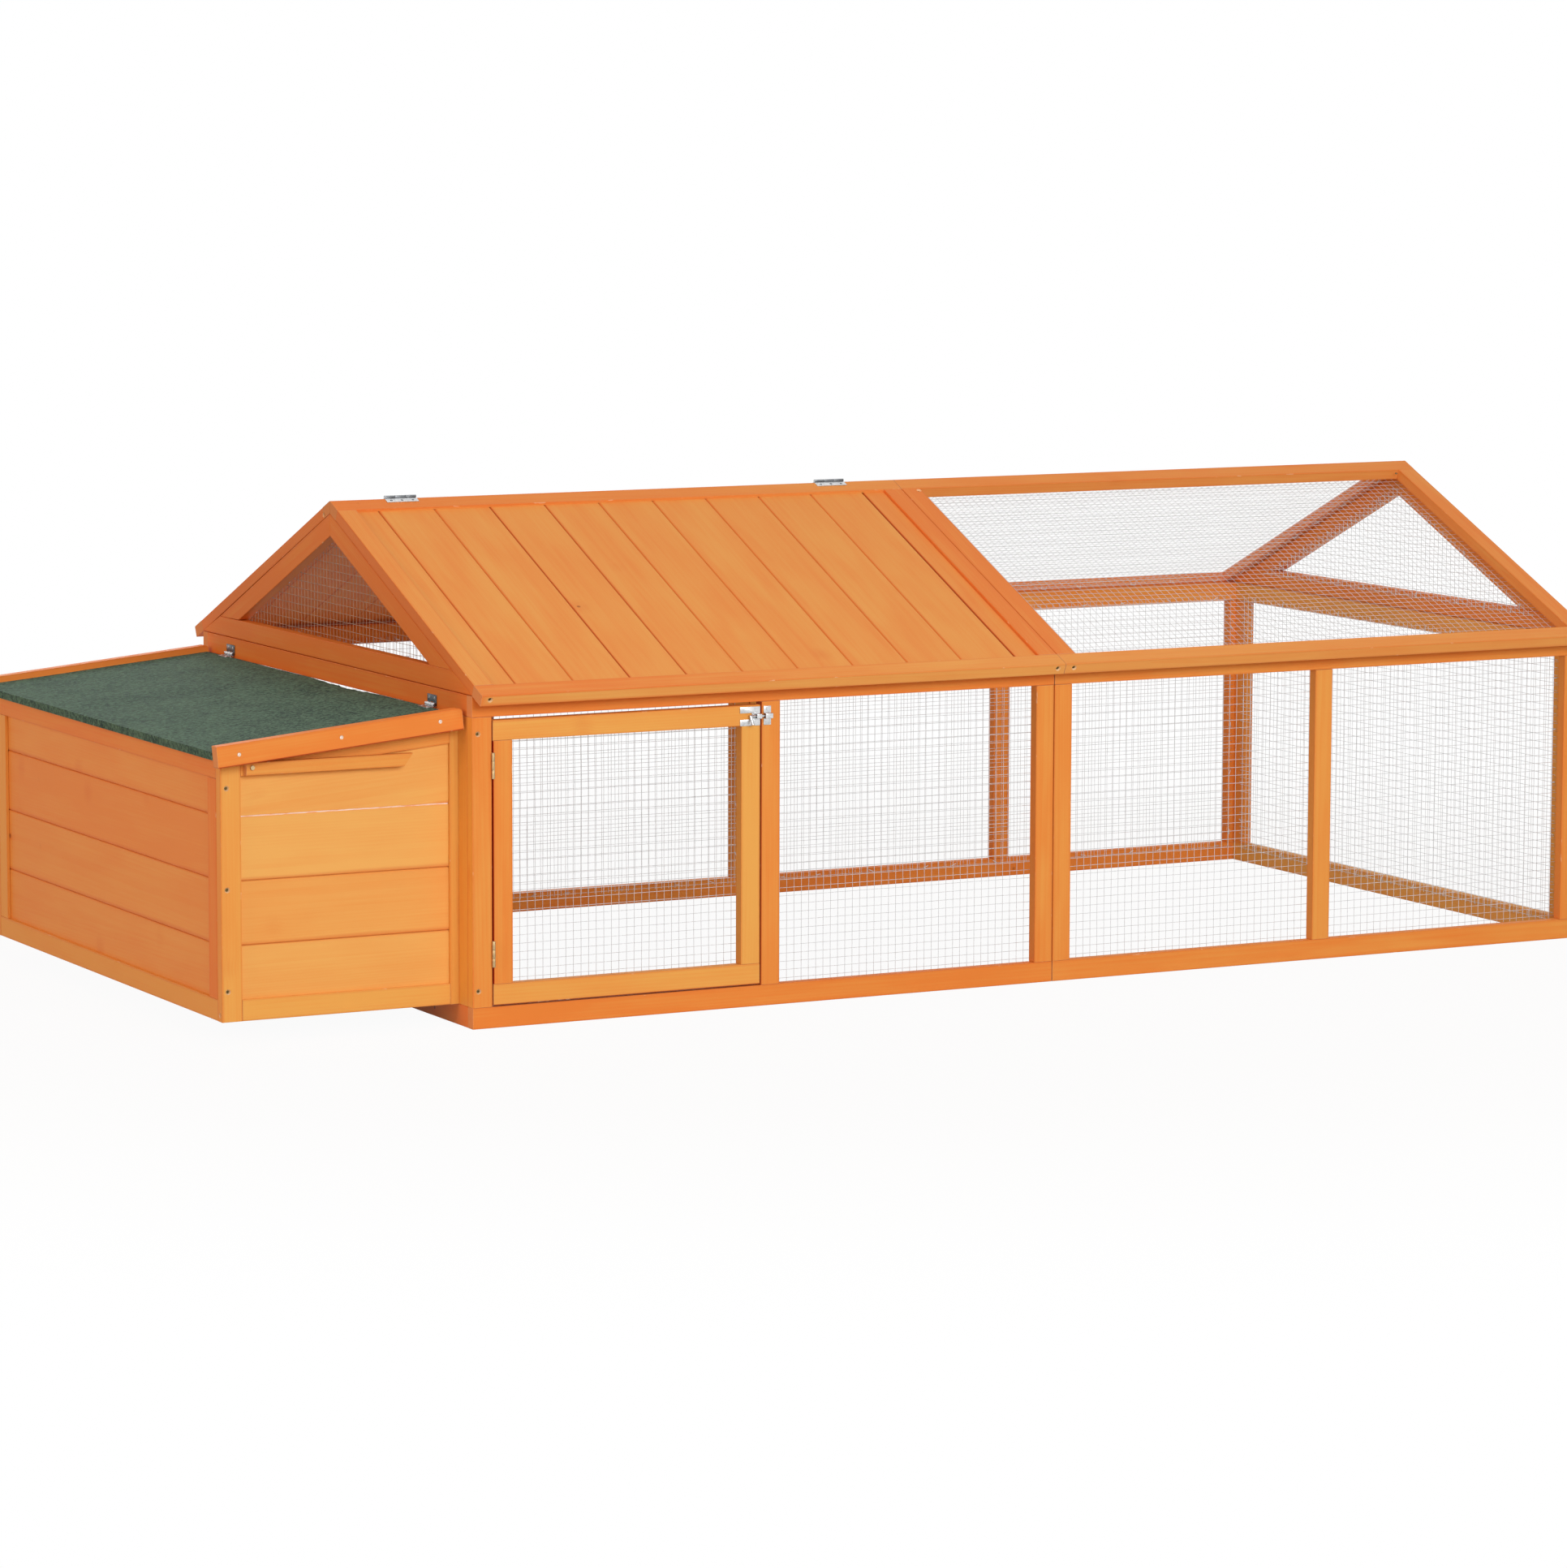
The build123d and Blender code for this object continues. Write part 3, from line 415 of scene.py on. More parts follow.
def stained_wood_group():
    """Grain, knots, pooled stain, dark joints and rubbed edges of one stick or board. Some dark joints and
    tones are painted shade or painted light.
    """
    bench, given, out = opened(
        "Stained wood", "ShaderNodeTree",
        {
            "Color": ("Light", "Dark", "Pooled", "Knot", "Raw", "End", "Joint"),
            "Float": ("Ring Spacing", "Ring Strength", "Pool Width", "Pool Strength", "Wear"),
        },
        {"Color": ("Colour",), "Float": ("Roughness", "Height")},
    )
    place = bench.attribute("place")["Vector"]
    half = bench.attribute("half")["Vector"]
    seed = bench.attribute("seed")["Fac"]
    shift = bench.node("ShaderNodeTexWhiteNoise", {"W": seed}, noise_dimensions="1D").outputs["Color"]
    solid = bench.vector("MULTIPLY_ADD", shift, (10, 10, 10), place)
    along, across, through = bench.split(place)

    # Knots, as sparse cells in the wood
    cell_size = (0.26, 0.085, 0.085)
    cells = bench.vector("MULTIPLY", solid, [1 / size for size in cell_size])
    voronoi = bench.node("ShaderNodeTexVoronoi", {"Vector": cells, "Scale": 1.0}).outputs
    away = bench.vector("SUBTRACT", cells, voronoi["Position"])
    from_knot = bench.vector("LENGTH", bench.vector("MULTIPLY", away, cell_size))
    lot = bench.split(voronoi["Color"])
    present = bench.math("GREATER_THAN", lot[0], 0.62)
    reach = bench.times_plus(lot[1], 0.004, 0.003)
    heart = bench.times(bench.ramp(bench.ratio(from_knot, reach), 1.0, 0.45), present)
    halo = bench.times(bench.ramp(from_knot, 0.028, 0.002), present)

    # Year rings about a heart that lies beside the stick
    centred = bench.vector("SUBTRACT", shift, (0.5, 0.5, 0.5))
    lean, beside, behind = bench.split(bench.vector("MULTIPLY", centred, (0.05, 0.1, 0.14)))
    ring_y = bench.times_plus(lean, along, bench.minus(across, beside))
    ring_y = bench.times_plus(halo, 0.006, ring_y)
    ring_place = bench.join(bench.times(along, 0.04), ring_y, bench.minus(through, behind))
    wave = bench.node(
        "ShaderNodeTexWave",
        {
            "Vector": ring_place, "Scale": bench.ratio(0.31416, given["Ring Spacing"]),
            "Distortion": 2.6, "Detail": 2.0, "Detail Scale": 0.32, "Detail Roughness": 0.55,
        },
        wave_type="RINGS", rings_direction="X", wave_profile="SAW",
    ).outputs["Fac"]
    late = bench.math("POWER", wave, 2.2)

    # Fibres and soft differences in how the stain took
    fibre = bench.noise(solid, (16, 900, 900), 3.0, 0.6)
    streak = bench.noise(solid, (5, 150, 150), 2.0, 0.55)
    blotch = bench.noise(solid, (5, 22, 22), 2.0, 0.5)
    share = bench.times(late, given["Ring Strength"])
    # The tone is each stick's own depth of stain; on some sticks it is painted shade or painted light
    for amount, weight in (
        (bench.ramp(blotch, 0.32, 0.68), 0.3),
        (bench.ramp(streak, 0.35, 0.68), 0.16),
        (fibre, 0.14),
        (bench.minus(bench.attribute("stain_and_shade_tone")["Fac"], 0.3), 0.9),
    ):
        share = bench.times_plus(amount, weight, share)
    share = bench.math("SUBTRACT", share, 0.06, clamp=True)
    made = bench.blend(share, given["Light"], given["Dark"])

    # Distance from the nearest long edge, where stain pools and the wood gets rubbed
    du, dv, dw = bench.split(bench.vector("SUBTRACT", half, bench.vector("ABSOLUTE", place)))
    from_edge = bench.math("MAXIMUM", dv, dw)
    is_end = bench.math("LESS_THAN", du, 0.0004)
    pool = bench.ratio(from_edge, given["Pool Width"])
    pool = bench.ramp(bench.times_plus(bench.minus(blotch, 0.5), 1.2, pool), 1.0, 0.0)
    # Dark joint on the low or high side: stain between roof planks, painted shade in the door's gaps and
    # under the lid's batten
    below, above, _ = bench.split(bench.attribute("joints")["Vector"])
    upper = bench.math("GREATER_THAN", across, 0.0)
    line = bench.times_plus(upper, bench.minus(above, below), below)
    line = bench.times(line, bench.ramp(dv, 0.0018, 0.0008))
    rub = bench.noise(solid, (45, 160, 160), 2.0, 0.6)
    rub = bench.ramp(rub, given["Wear"], bench.math("ADD", given["Wear"], 0.05))
    rub = bench.times(rub, bench.ramp(from_edge, 0.0018, 0.0008))
    for amount, strength, tint in (
        (pool, given["Pool Strength"], "Pooled"),
        (halo, 0.22, "Pooled"),
        (line, 1.0, "Joint"),
        (heart, 0.8, "Knot"),
        (is_end, 0.65, "End"),
        (rub, 0.6, "Raw"),
        (bench.attribute("bare")["Fac"], 0.8, "Raw"),
    ):
        made = bench.blend(bench.times(amount, strength), made, given[tint])
    bench.feed(out["Colour"], made)
    dull = bench.times_plus(fibre, 0.16, 0.46)
    bench.feed(out["Roughness"], bench.times_plus(is_end, 0.2, dull))
    rough = bench.times_plus(late, -0.35, fibre)
    bench.feed(out["Height"], bench.times_plus(streak, 0.6, rough))
    return bench.tree


def plated_metal_group():
    """Cloudy plating on wire, hinges and screws, with a painted dark reflection mixed in where the faces
    ask for it.
    """
    bench, given, out = opened(
        "Plated metal", "ShaderNodeTree",
        {"Color": ("Plating", "Tarnish"), "Float": ("Cloud Size", "Depth", "Dullness")},
        {"Color": ("Colour",), "Float": ("Roughness",)},
    )
    cloud = bench.noise(bench.place(), bench.ratio(1.0, given["Cloud Size"]), 3.0, 0.6)
    cloud = bench.ramp(cloud, 0.3, 0.7)
    dark = bench.minus(1.0, bench.times(cloud, given["Depth"]))
    # Painted dark reflection, as far as each face asks for it
    made = bench.blend(bench.attribute("tarnish")["Fac"], given["Plating"], given["Tarnish"])
    bench.feed(out["Colour"], bench.vector("MULTIPLY", made, dark))
    bench.feed(out["Roughness"], bench.times_plus(cloud, 0.18, given["Dullness"]))
    return bench.tree


# Materials

def dressed(name, dress, *details):
    """The material of that name, dressed when it is first asked for."""
    made = bpy.data.materials.get(name)
    if not made:
        made = bpy.data.materials.new(name)
        made.use_nodes = True
        dress(Bench(made.node_tree), made.node_tree.nodes["Principled BSDF"].inputs, *details)
    return made


def rgba(value):
    return (*value, 1.0)


def grouped(bench, inputs, tree, feeds):
    """Feeds a shader's colour and roughness from a node group with its own values."""
    group = bench.node("ShaderNodeGroup", feeds, node_tree=tree)
    bench.feed(inputs["Base Color"], group.outputs["Colour"])
    bench.feed(inputs["Roughness"], group.outputs["Roughness"])
    return group


def bumped(bench, inputs, height, strength, distance):
    """Feeds a shader's normal from a height."""
    feeds = {"Strength": strength, "Distance": distance, "Height": height}
    bench.feed(inputs["Normal"], bench.first("ShaderNodeBump", feeds))


# Looks of the wood: whose colours it has, strength of its rings, width and strength of pooled stain, wear
wood_looks = {
    "Stained frame wood": ("frame", 0.2, 0.004, 0.3, 0.66),
    "Stained roof frame": ("roof", 0.2, 0.004, 0.3, 0.66),
    "Stained board wood": ("board", 0.2, 0.007, 0.5, 0.74),
    "Stained roof plank": ("roof", 0.07, 0.0045, 0.6, 0.78),
}


def stained_wood(bench, inputs, key, ring_strength, pool_width, pool_strength, wear):
    """Stained wood with its own depth of colour."""
    wood = bpy.context.scene.coop_wood
    feeds = {
        "Ring Spacing": wood.ring_space, "Ring Strength": ring_strength,
        "Pool Width": pool_width, "Pool Strength": pool_strength, "Wear": wear,
    }
    for tint in ("Light", "Dark"):
        feeds[tint] = rgba(getattr(wood, f"{key}_{tint.lower()}"))
    for tint in ("Pooled", "Knot", "Raw", "End", "Joint"):
        feeds[tint] = rgba(getattr(wood, tint.lower()))
    tree = bpy.data.node_groups.get("Stained wood") or stained_wood_group()
    group = grouped(bench, inputs, tree, feeds)
    bumped(bench, inputs, group.outputs["Height"], 0.14, 0.0004)
    inputs["Specular IOR Level"].default_value = 0.18


def stain(name):
    """The material of a stained wood."""
    return dressed(name, stained_wood, *wood_looks[name])


def bare_wood(bench, inputs):
    """Unstained wood with flecks of stain."""
    wood = bpy.context.scene.coop_wood
    fleck = bench.ramp(bench.noise(bench.place(), (60, 900, 900), 3.0, 0.6), 0.4, 0.75)
    bench.feed(inputs["Base Color"], bench.blend(fleck, rgba(wood.bare), rgba(wood.frame_dark)))
    bench.feed(inputs["Roughness"], bench.times_plus(fleck, 0.2, 0.6))


def mineral_felt(bench, inputs):
    """Green mineral felt: coloured granules pressed into bitumen."""
    felt = bpy.context.scene.coop_felt
    place = bench.place()
    grain = bench.node("ShaderNodeTexVoronoi", {"Vector": place, "Scale": 330.0}).outputs
    lot = bench.split(grain["Color"])[0]
    clump = bench.noise(place, (140, 140, 140), 2.0, 0.6)
    cloud = bench.noise(place, (14, 14, 14), 3.0, 0.6)
    share = bench.times(bench.math("POWER", lot, 2.0), 0.7)
    share = bench.times_plus(bench.ramp(clump, 0.42, 0.62), 0.4, share)
    share = bench.math("MULTIPLY_ADD", bench.ramp(cloud, 0.3, 0.7), 0.2, share, clamp=True)
    bench.feed(inputs["Base Color"], bench.blend(share, rgba(felt.dark), rgba(felt.light)))
    bench.feed(inputs["Roughness"], bench.times_plus(lot, 0.15, 0.8))
    bumped(bench, inputs, bench.minus(1.0, grain["Distance"]), 0.5, 0.0006)
    inputs["Specular IOR Level"].default_value = 0.3


# Finishes of the metal: the setting of its colour, size and depth of its clouds, dullness, metallic
finishes = {
    "Galvanised wire": ("coop_wire", "zinc", 0.01, 0.15, 0.38, 1.0),
    # Painted shade on the house gable's net
    "Shade-painted wire": ("coop_wire", "dull", 0.01, 0.15, 0.5, 0.35),
    "Bright zinc": ("coop_metal", "bright", 0.004, 0.3, 0.22, 1.0),
    # Painted dark zinc: painted dark reflection and shade on the ridge hinges' screws
    "Painted dark zinc": ("coop_metal", "tarnish", 0.004, 0.3, 0.3, 1.0),
    "Tan zinc": ("coop_metal", "tan", 0.006, 0.3, 0.4, 1.0),
    "Yellow zinc": ("coop_metal", "yellow", 0.003, 0.35, 0.3, 1.0),
    "White zinc": ("coop_metal", "white", 0.003, 0.1, 0.45, 0.3),
}


def plated_metal(bench, inputs, settings, key, cloud, depth, dullness, metallic):
    """Plated metal of one finish."""
    scene = bpy.context.scene
    plating, tarnish = getattr(getattr(scene, settings), key), scene.coop_metal.tarnish
    feeds = {"Plating": rgba(plating), "Tarnish": rgba(tarnish)}
    feeds.update({"Cloud Size": cloud, "Depth": depth, "Dullness": dullness})
    tree = bpy.data.node_groups.get("Plated metal") or plated_metal_group()
    grouped(bench, inputs, tree, feeds)
    inputs["Metallic"].default_value = metallic


def metal(name):
    """The material of a metal finish."""
    return dressed(name, plated_metal, *finishes[name])


# Placing finished pieces

def linked(name, data):
    """A new object in the scene."""
    made = bpy.data.objects.new(name, data)
    bpy.context.scene.collection.objects.link(made)
    return made


def body_of(node):
    """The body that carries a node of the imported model."""
    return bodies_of(frame["nodes"][node])[0]


def placed(mesh, name, body, material, node=None):
    """Makes a finished mesh a piece that rides on a body and may stand for a node."""
    mesh.name = name
    mesh.materials.clear()
    mesh.materials.append(material)
    piece = linked(name, mesh)
    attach(piece, body)
    if node:
        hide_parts(node)


def filled(bm):
    """Turns a working shape into a mesh."""
    mesh = bpy.data.meshes.new("shape")
    bm.to_mesh(mesh)
    bm.free()
    return mesh


def smoothed(bm, degrees):
    """Turns a working shape into a mesh that is smooth up to an angle."""
    mesh = filled(bm)
    mesh.polygons.foreach_set("use_smooth", [True] * len(mesh.polygons))
    mesh.set_sharp_from_angle(angle=math.radians(degrees))
    return mesh


def settled(holder):
    """The plain mesh of an object with its modifiers applied."""
    ready = holder.evaluated_get(bpy.context.evaluated_depsgraph_get())
    return bpy.data.meshes.new_from_object(ready)


def grown(base, tree, values):
    """The plain mesh that a tree makes on a base mesh, which is used up."""
    holder = linked("holder", base)
    modifier = holder.modifiers.new("tree", "NODES")
    modifier.node_group = tree
    for item in tree.interface.items_tree:
        if item.in_out == "INPUT" and item.name in values:
            modifier[item.identifier] = values[item.name]
    mesh = settled(holder)
    bpy.data.objects.remove(holder)
    bpy.data.meshes.remove(base)
    return mesh


# Working on shapes

def copied(node):
    """A clean copy of a node's shape, with whole flat faces."""
    bm = bmesh.new()
    bm.from_mesh(frame["nodes"][node].data)
    for layer in list(bm.loops.layers.uv):
        bm.loops.layers.uv.remove(layer)
    bmesh.ops.remove_doubles(bm, verts=bm.verts, dist=1e-6)
    bmesh.ops.dissolve_limit(bm, angle_limit=math.radians(0.6), verts=bm.verts, edges=bm.edges)
    return bm


def parted(bm):
    """The loose solids of a shape, each as a list of its corners, in a steady order."""
    known = set()
    groups = []
    for corner in bm.verts:
        if corner in known:
            continue
        known.add(corner)
        group = [corner]
        for reached in group:
            for edge in reached.link_edges:
                other = edge.other_vert(reached)
                if other not in known:
                    known.add(other)
                    group.append(other)
        groups.append(group)

    def order(group):
        return [round(sum(corner.co[i] for corner in group) / len(group), 4) for i in range(3)]

    return sorted(groups, key=order)


def middle(group):
    """The mean place of some corners."""
    return sum((corner.co for corner in group), Vector()) / len(group)


def steady(direction):
    """The direction or its opposite, so that its largest part is positive."""
    return direction if max(direction, key=abs) > 0 else -direction


def long_way(edges):
    """The direction and the length of the longest edge."""
    longest = max(edges, key=lambda edge: edge.calc_length())
    return (longest.verts[1].co - longest.verts[0].co).normalized(), longest.calc_length()


def rounded(bm, edges, offset, segments):
    """Rounds some edges of a shape, and puts its faces in an order that is the same in every run."""
    bmesh.ops.bevel(
        bm, geom=edges, offset=offset, segments=segments, profile=0.5, affect="EDGES", clamp_overlap=True
    )
    bm.verts.index_update()
    ordered = sorted(bm.faces, key=lambda face: sorted(corner.index for corner in face.verts))
    for index, face in enumerate(ordered):
        face.index = index
    bm.faces.sort()
    bm.normal_update()


def skinned(bm, loops):
    """Lays a band of faces between each loop of corners and the next."""
    for before, after in zip(loops, loops[1:]):
        for step in range(len(before)):
            following = (step + 1) % len(before)
            bm.faces.new((before[step], before[following], after[following], after[step]))


def meshed(bm, cell):
    """Splits the edges of a shape until none is much longer than a cell."""
    for _ in range(7):
        long_edges = [edge for edge in bm.edges if edge.calc_length() > 1.5 * cell]
        if not long_edges:
            break
        bmesh.ops.subdivide_edges(bm, edges=long_edges, cuts=1, use_grid_fill=True)
    bmesh.ops.triangulate(bm, faces=[face for face in bm.faces if len(face.verts) > 4])
    bm.normal_update()


# Wood

def stick_axes(group):
    """Directions along, across and through a stick."""
    faces = [face for corner in group for face in corner.link_faces]
    along = steady(long_way([edge for corner in group for edge in corner.link_edges])[0])
    square = [face for face in faces if abs(face.normal.dot(along)) < 0.5]
    through = max(square, key=lambda face: face.calc_area()).normal
    through = steady((through - along * through.dot(along)).normalized())
    return along, through.cross(along), through


def ease_sticks(bm, long_edge, sawn_edge):
    """Rounds the planed edges along each stick, and only breaks the edges at its ends."""
    bm.edges.index_update()
    shortest = 0.02
    long_edges = []
    for group in parted(bm):
        along = stick_axes(group)[0]
        for edge in {edge for corner in group for edge in corner.link_edges}:
            way = (edge.verts[1].co - edge.verts[0].co).normalized()
            convex = edge.calc_face_angle_signed(0) > math.radians(30)
            if convex and abs(way.dot(along)) > 0.999 and edge.calc_length() > shortest:
                long_edges.append(edge)
    rounded(bm, sorted(long_edges, key=lambda edge: edge.index), long_edge, 3)
    ends = [edge for edge in bm.edges if edge.calc_face_angle_signed(0) > math.radians(60)]
    rounded(bm, ends, sawn_edge, 1)


def measured(bm):
    """The middle, the directions and the half sizes of every stick in a shape."""
    sticks = []
    for group in parted(bm):
        turned = Matrix(stick_axes(group))
        spots = [turned @ corner.co for corner in group]
        lows = Vector([min(spot[i] for spot in spots) for i in range(3)])
        highs = Vector([max(spot[i] for spot in spots) for i in range(3)])
        sticks.append((turned.transposed() @ ((lows + highs) / 2), turned, (highs - lows) / 2))
    return sticks


def lay_grain(bm, name, sticks):
    """Writes each point's place in its stick, and the stick's half sizes, number, stain and dark joint. On
    some sticks the stain depth is painted shade or painted light, and some dark joints are painted shade.
    """
    place, half, joints = [bm.verts.layers.float_vector.new(key) for key in ("place", "half", "joints")]
    seed, stain_and_shade_tone = [bm.verts.layers.float.new(key) for key in ("seed", "stain_and_shade_tone")]
    end_depth = pale if name in ("house_front_stiles", "house_end_stiles") else deepest
    hair = 0.0003
    for group in parted(bm):
        at = middle(group)
        off = [
            max(abs(part) / reach for part, reach in zip(turned @ (at - origin), size))
            for origin, turned, size in sticks
        ]
        index = off.index(min(off))
        origin, turned, size = sticks[index]
        draw = random.Random(f"{name} {index}")
        number, depth = draw.uniform(0, 100), draw.uniform(0, 1)
        # A listed depth is the stick's stain, and on some sticks painted shade or painted light
        if name in stain_and_shade_depth:
            depth = stain_and_shade_depth[name][index]
        # The dark joint is stain between roof planks, and painted shade in the door's gaps and under the
        # lid's batten
        dark = joint_stain_and_shade.get(name, {}).get(index, 0.0)
        rising = max(turned[1], key=abs) > 0
        for corner in group:
            corner[place] = turned @ (corner.co - origin)
            corner[half] = size
            corner[seed] = number
            corner[joints] = (dark, 0, 0) if rising else (0, dark, 0)
            at_end = name in stick_nodes and abs(corner.co.x - house_left) < hair
            corner[stain_and_shade_tone] = end_depth if at_end else depth


def countersunk(bm, spots, radius):
    """Cuts a countersunk hole at every spot and marks its bare wood."""
    sink, proud, near = radius * 0.8, radius * 0.1, radius * 1.4
    lift = Matrix.Translation((0, 0, (proud - sink) / 2))
    cutter = bmesh.new()
    for place, facing, _ in spots:
        turn = facing.to_track_quat("Z", "Y").to_matrix().to_4x4()
        bmesh.ops.create_cone(
            cutter, cap_ends=True, segments=16, radius1=radius * 0.6, radius2=radius + proud * 0.5,
            depth=proud + sink, matrix=Matrix.Translation(place) @ turn @ lift,
        )
    wood, holes = linked("wood", filled(bm)), linked("holes", filled(cutter))
    cut = wood.modifiers.new("holes", "BOOLEAN")
    cut.operation = "DIFFERENCE"
    cut.solver = "EXACT"
    cut.object = holes
    mesh = settled(wood)
    bm = bmesh.new()
    bm.from_mesh(mesh)
    for used in (mesh, wood.data, holes.data):
        bpy.data.meshes.remove(used)
    bmesh.ops.remove_doubles(bm, verts=bm.verts, dist=1e-6)
    bare = bm.faces.layers.float.new("bare")
    for face in bm.faces:
        if any(all((corner.co - place).length < near for corner in face.verts) for place, _, _ in spots):
            face[bare] = 1.0
    return bm


def lid_dip(place):
    """How far the nest lid has sunk at a place. Its inner edge dips between the battens."""
    deepest_dip, dip_y, dip_half = 0.0027, -0.07, 0.16
    low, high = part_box("nest_lid_board")
    inward = max(0.0, (place.x - low.x) / (high.x - low.x))
    aside = min(1.0, abs(place.y - dip_y) / dip_half)
    return deepest_dip * inward ** 3 * math.cos(aside * math.pi / 2) ** 2


def fit_joints(bm, node):
    """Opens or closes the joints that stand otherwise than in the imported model, by a hair each."""
    wood = bpy.context.scene.coop_wood
    low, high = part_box(node)
    hair, tongue_side = 0.0006, 0.0065
    for corner in bm.verts:
        at = corner.co
        if node.endswith("_gable_frame"):
            below_roof = high.z - abs(at.y) * math.tan(roof_pitch) - at.z
            if at.z < low.z + hair:
                at.z += wood.gable_gap
            elif at.y > hair and below_roof < hair:
                at.z -= wood.gable_gap
        elif node.startswith("run_roof") and at.x < low.x + hair:
            at.x -= wood.roof_close
        elif node.startswith(("house_front", "house_rear", "run_front", "run_rear")):
            if abs(at.x - run_left) < hair:
                at.x += wood.bay_gap if node.startswith("run") else -wood.bay_gap
        elif node == "door_rails" and at.z > high.z - hair:
            at.z -= wood.door_slit * (1 - 0.6 * (at.x - low.x) / (high.x - low.x))
    if node == "house_roof_front_planks":
        last = parted(bm)[-1]
        left = min(corner.co.x for corner in last)
        for corner in last:
            if corner.co.x < left + tongue_side:
                corner.co.x += wood.plank_gap


def wooden(node, material, long_edge=0.0, sawn_edge=0.0):
    """Stands a grained and eased copy in for a wooden node."""
    bm = copied(node)
    fit_joints(bm, node)
    if long_edge:
        ease_sticks(bm, long_edge, sawn_edge)
    sticks = measured(bm)
    if node.endswith("_planks"):
        for index, inward in ((0, 1), (-1, -1)):
            origin, turned, half = sticks[index]
            origin = origin + Vector((inward * hidden_edge, 0, 0))
            sticks[index] = (origin, turned, half - Vector((0, hidden_edge, 0)))
    if node == "nest_lid_board":
        lid_cell = 0.02
        meshed(bm, lid_cell)
        for corner in bm.verts:
            corner.co.z -= lid_dip(corner.co)
    if node in screw_spots:
        hole = screw_kind(node)[1]
        bm = countersunk(bm, screw_spots[node], bpy.context.scene.coop_metal.screw / 2 * hole)
    lay_grain(bm, node, sticks)
    placed(filled(bm), f"{node}.wood", body_of(node), material, node)


class COOP_OT_frame_sticks(bpy.types.Operator):
    """Makes every frame of eased sticks, each with its own grain"""

    bl_idname = "coop.frame_sticks"
    bl_label = "Frame Sticks"

    def execute(self, context):
        wood = context.scene.coop_wood
        for node in stick_nodes:
            look = stain("Stained roof frame" if "_roof_" in node else "Stained frame wood")
            wooden(node, look, wood.long_edge, wood.sawn_edge)
        return {"FINISHED"}


class COOP_OT_boards(bpy.types.Operator):
    """Makes the roof planks, the nest boards, the nest floor and the lid board"""

    bl_idname = "coop.boards"
    bl_label = "Planks and Boards"

    def execute(self, context):
        for node in board_nodes:
            look = stain("Stained roof plank" if node.endswith("_planks") else "Stained board wood")
            wooden(node, look)
        self.bare_tongue()
        return {"FINISHED"}

    def bare_tongue(self):
        """The strip of a tongue that shows unstained in the top joint of the nest's front."""
        low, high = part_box("nest_front_boards")
        in_groove, joint_height, steps = 0.0065, 0.335, 60
        left, right = low.x + in_groove, high.x - in_groove
        front, back = low.y + 0.0006, low.y + 0.0016
        bm = bmesh.new()
        loops = []
        for step in range(steps + 1):
            x = left + (right - left) * step / steps
            tall = 0.0010 + 0.0006 * noise.noise(Vector((x * 40, 3.0, 0.0)))
            corners = ((front, -tall), (front, tall), (back, tall), (back, -tall))
            loops.append([bm.verts.new((x, y, joint_height + z)) for y, z in corners])
        skinned(bm, loops)
        bm.faces.new(loops[0])
        bm.faces.new(loops[-1])
        bmesh.ops.recalc_face_normals(bm, faces=bm.faces)
        placed(filled(bm), "bare_tongue", "coop", dressed("Bare wood", bare_wood))


# Wire nets

def sealed(bench, given, out, geometry):
    """Ends a tree: makes its instances real and gives them their material."""
    real = bench.first("GeometryNodeRealizeInstances", {0: geometry})
    feeds = {"Geometry": real, "Material": given["Material"]}
    bench.feed(out[0], bench.first("GeometryNodeSetMaterial", feeds))
    bench.tree.is_modifier = True
    return bench.tree


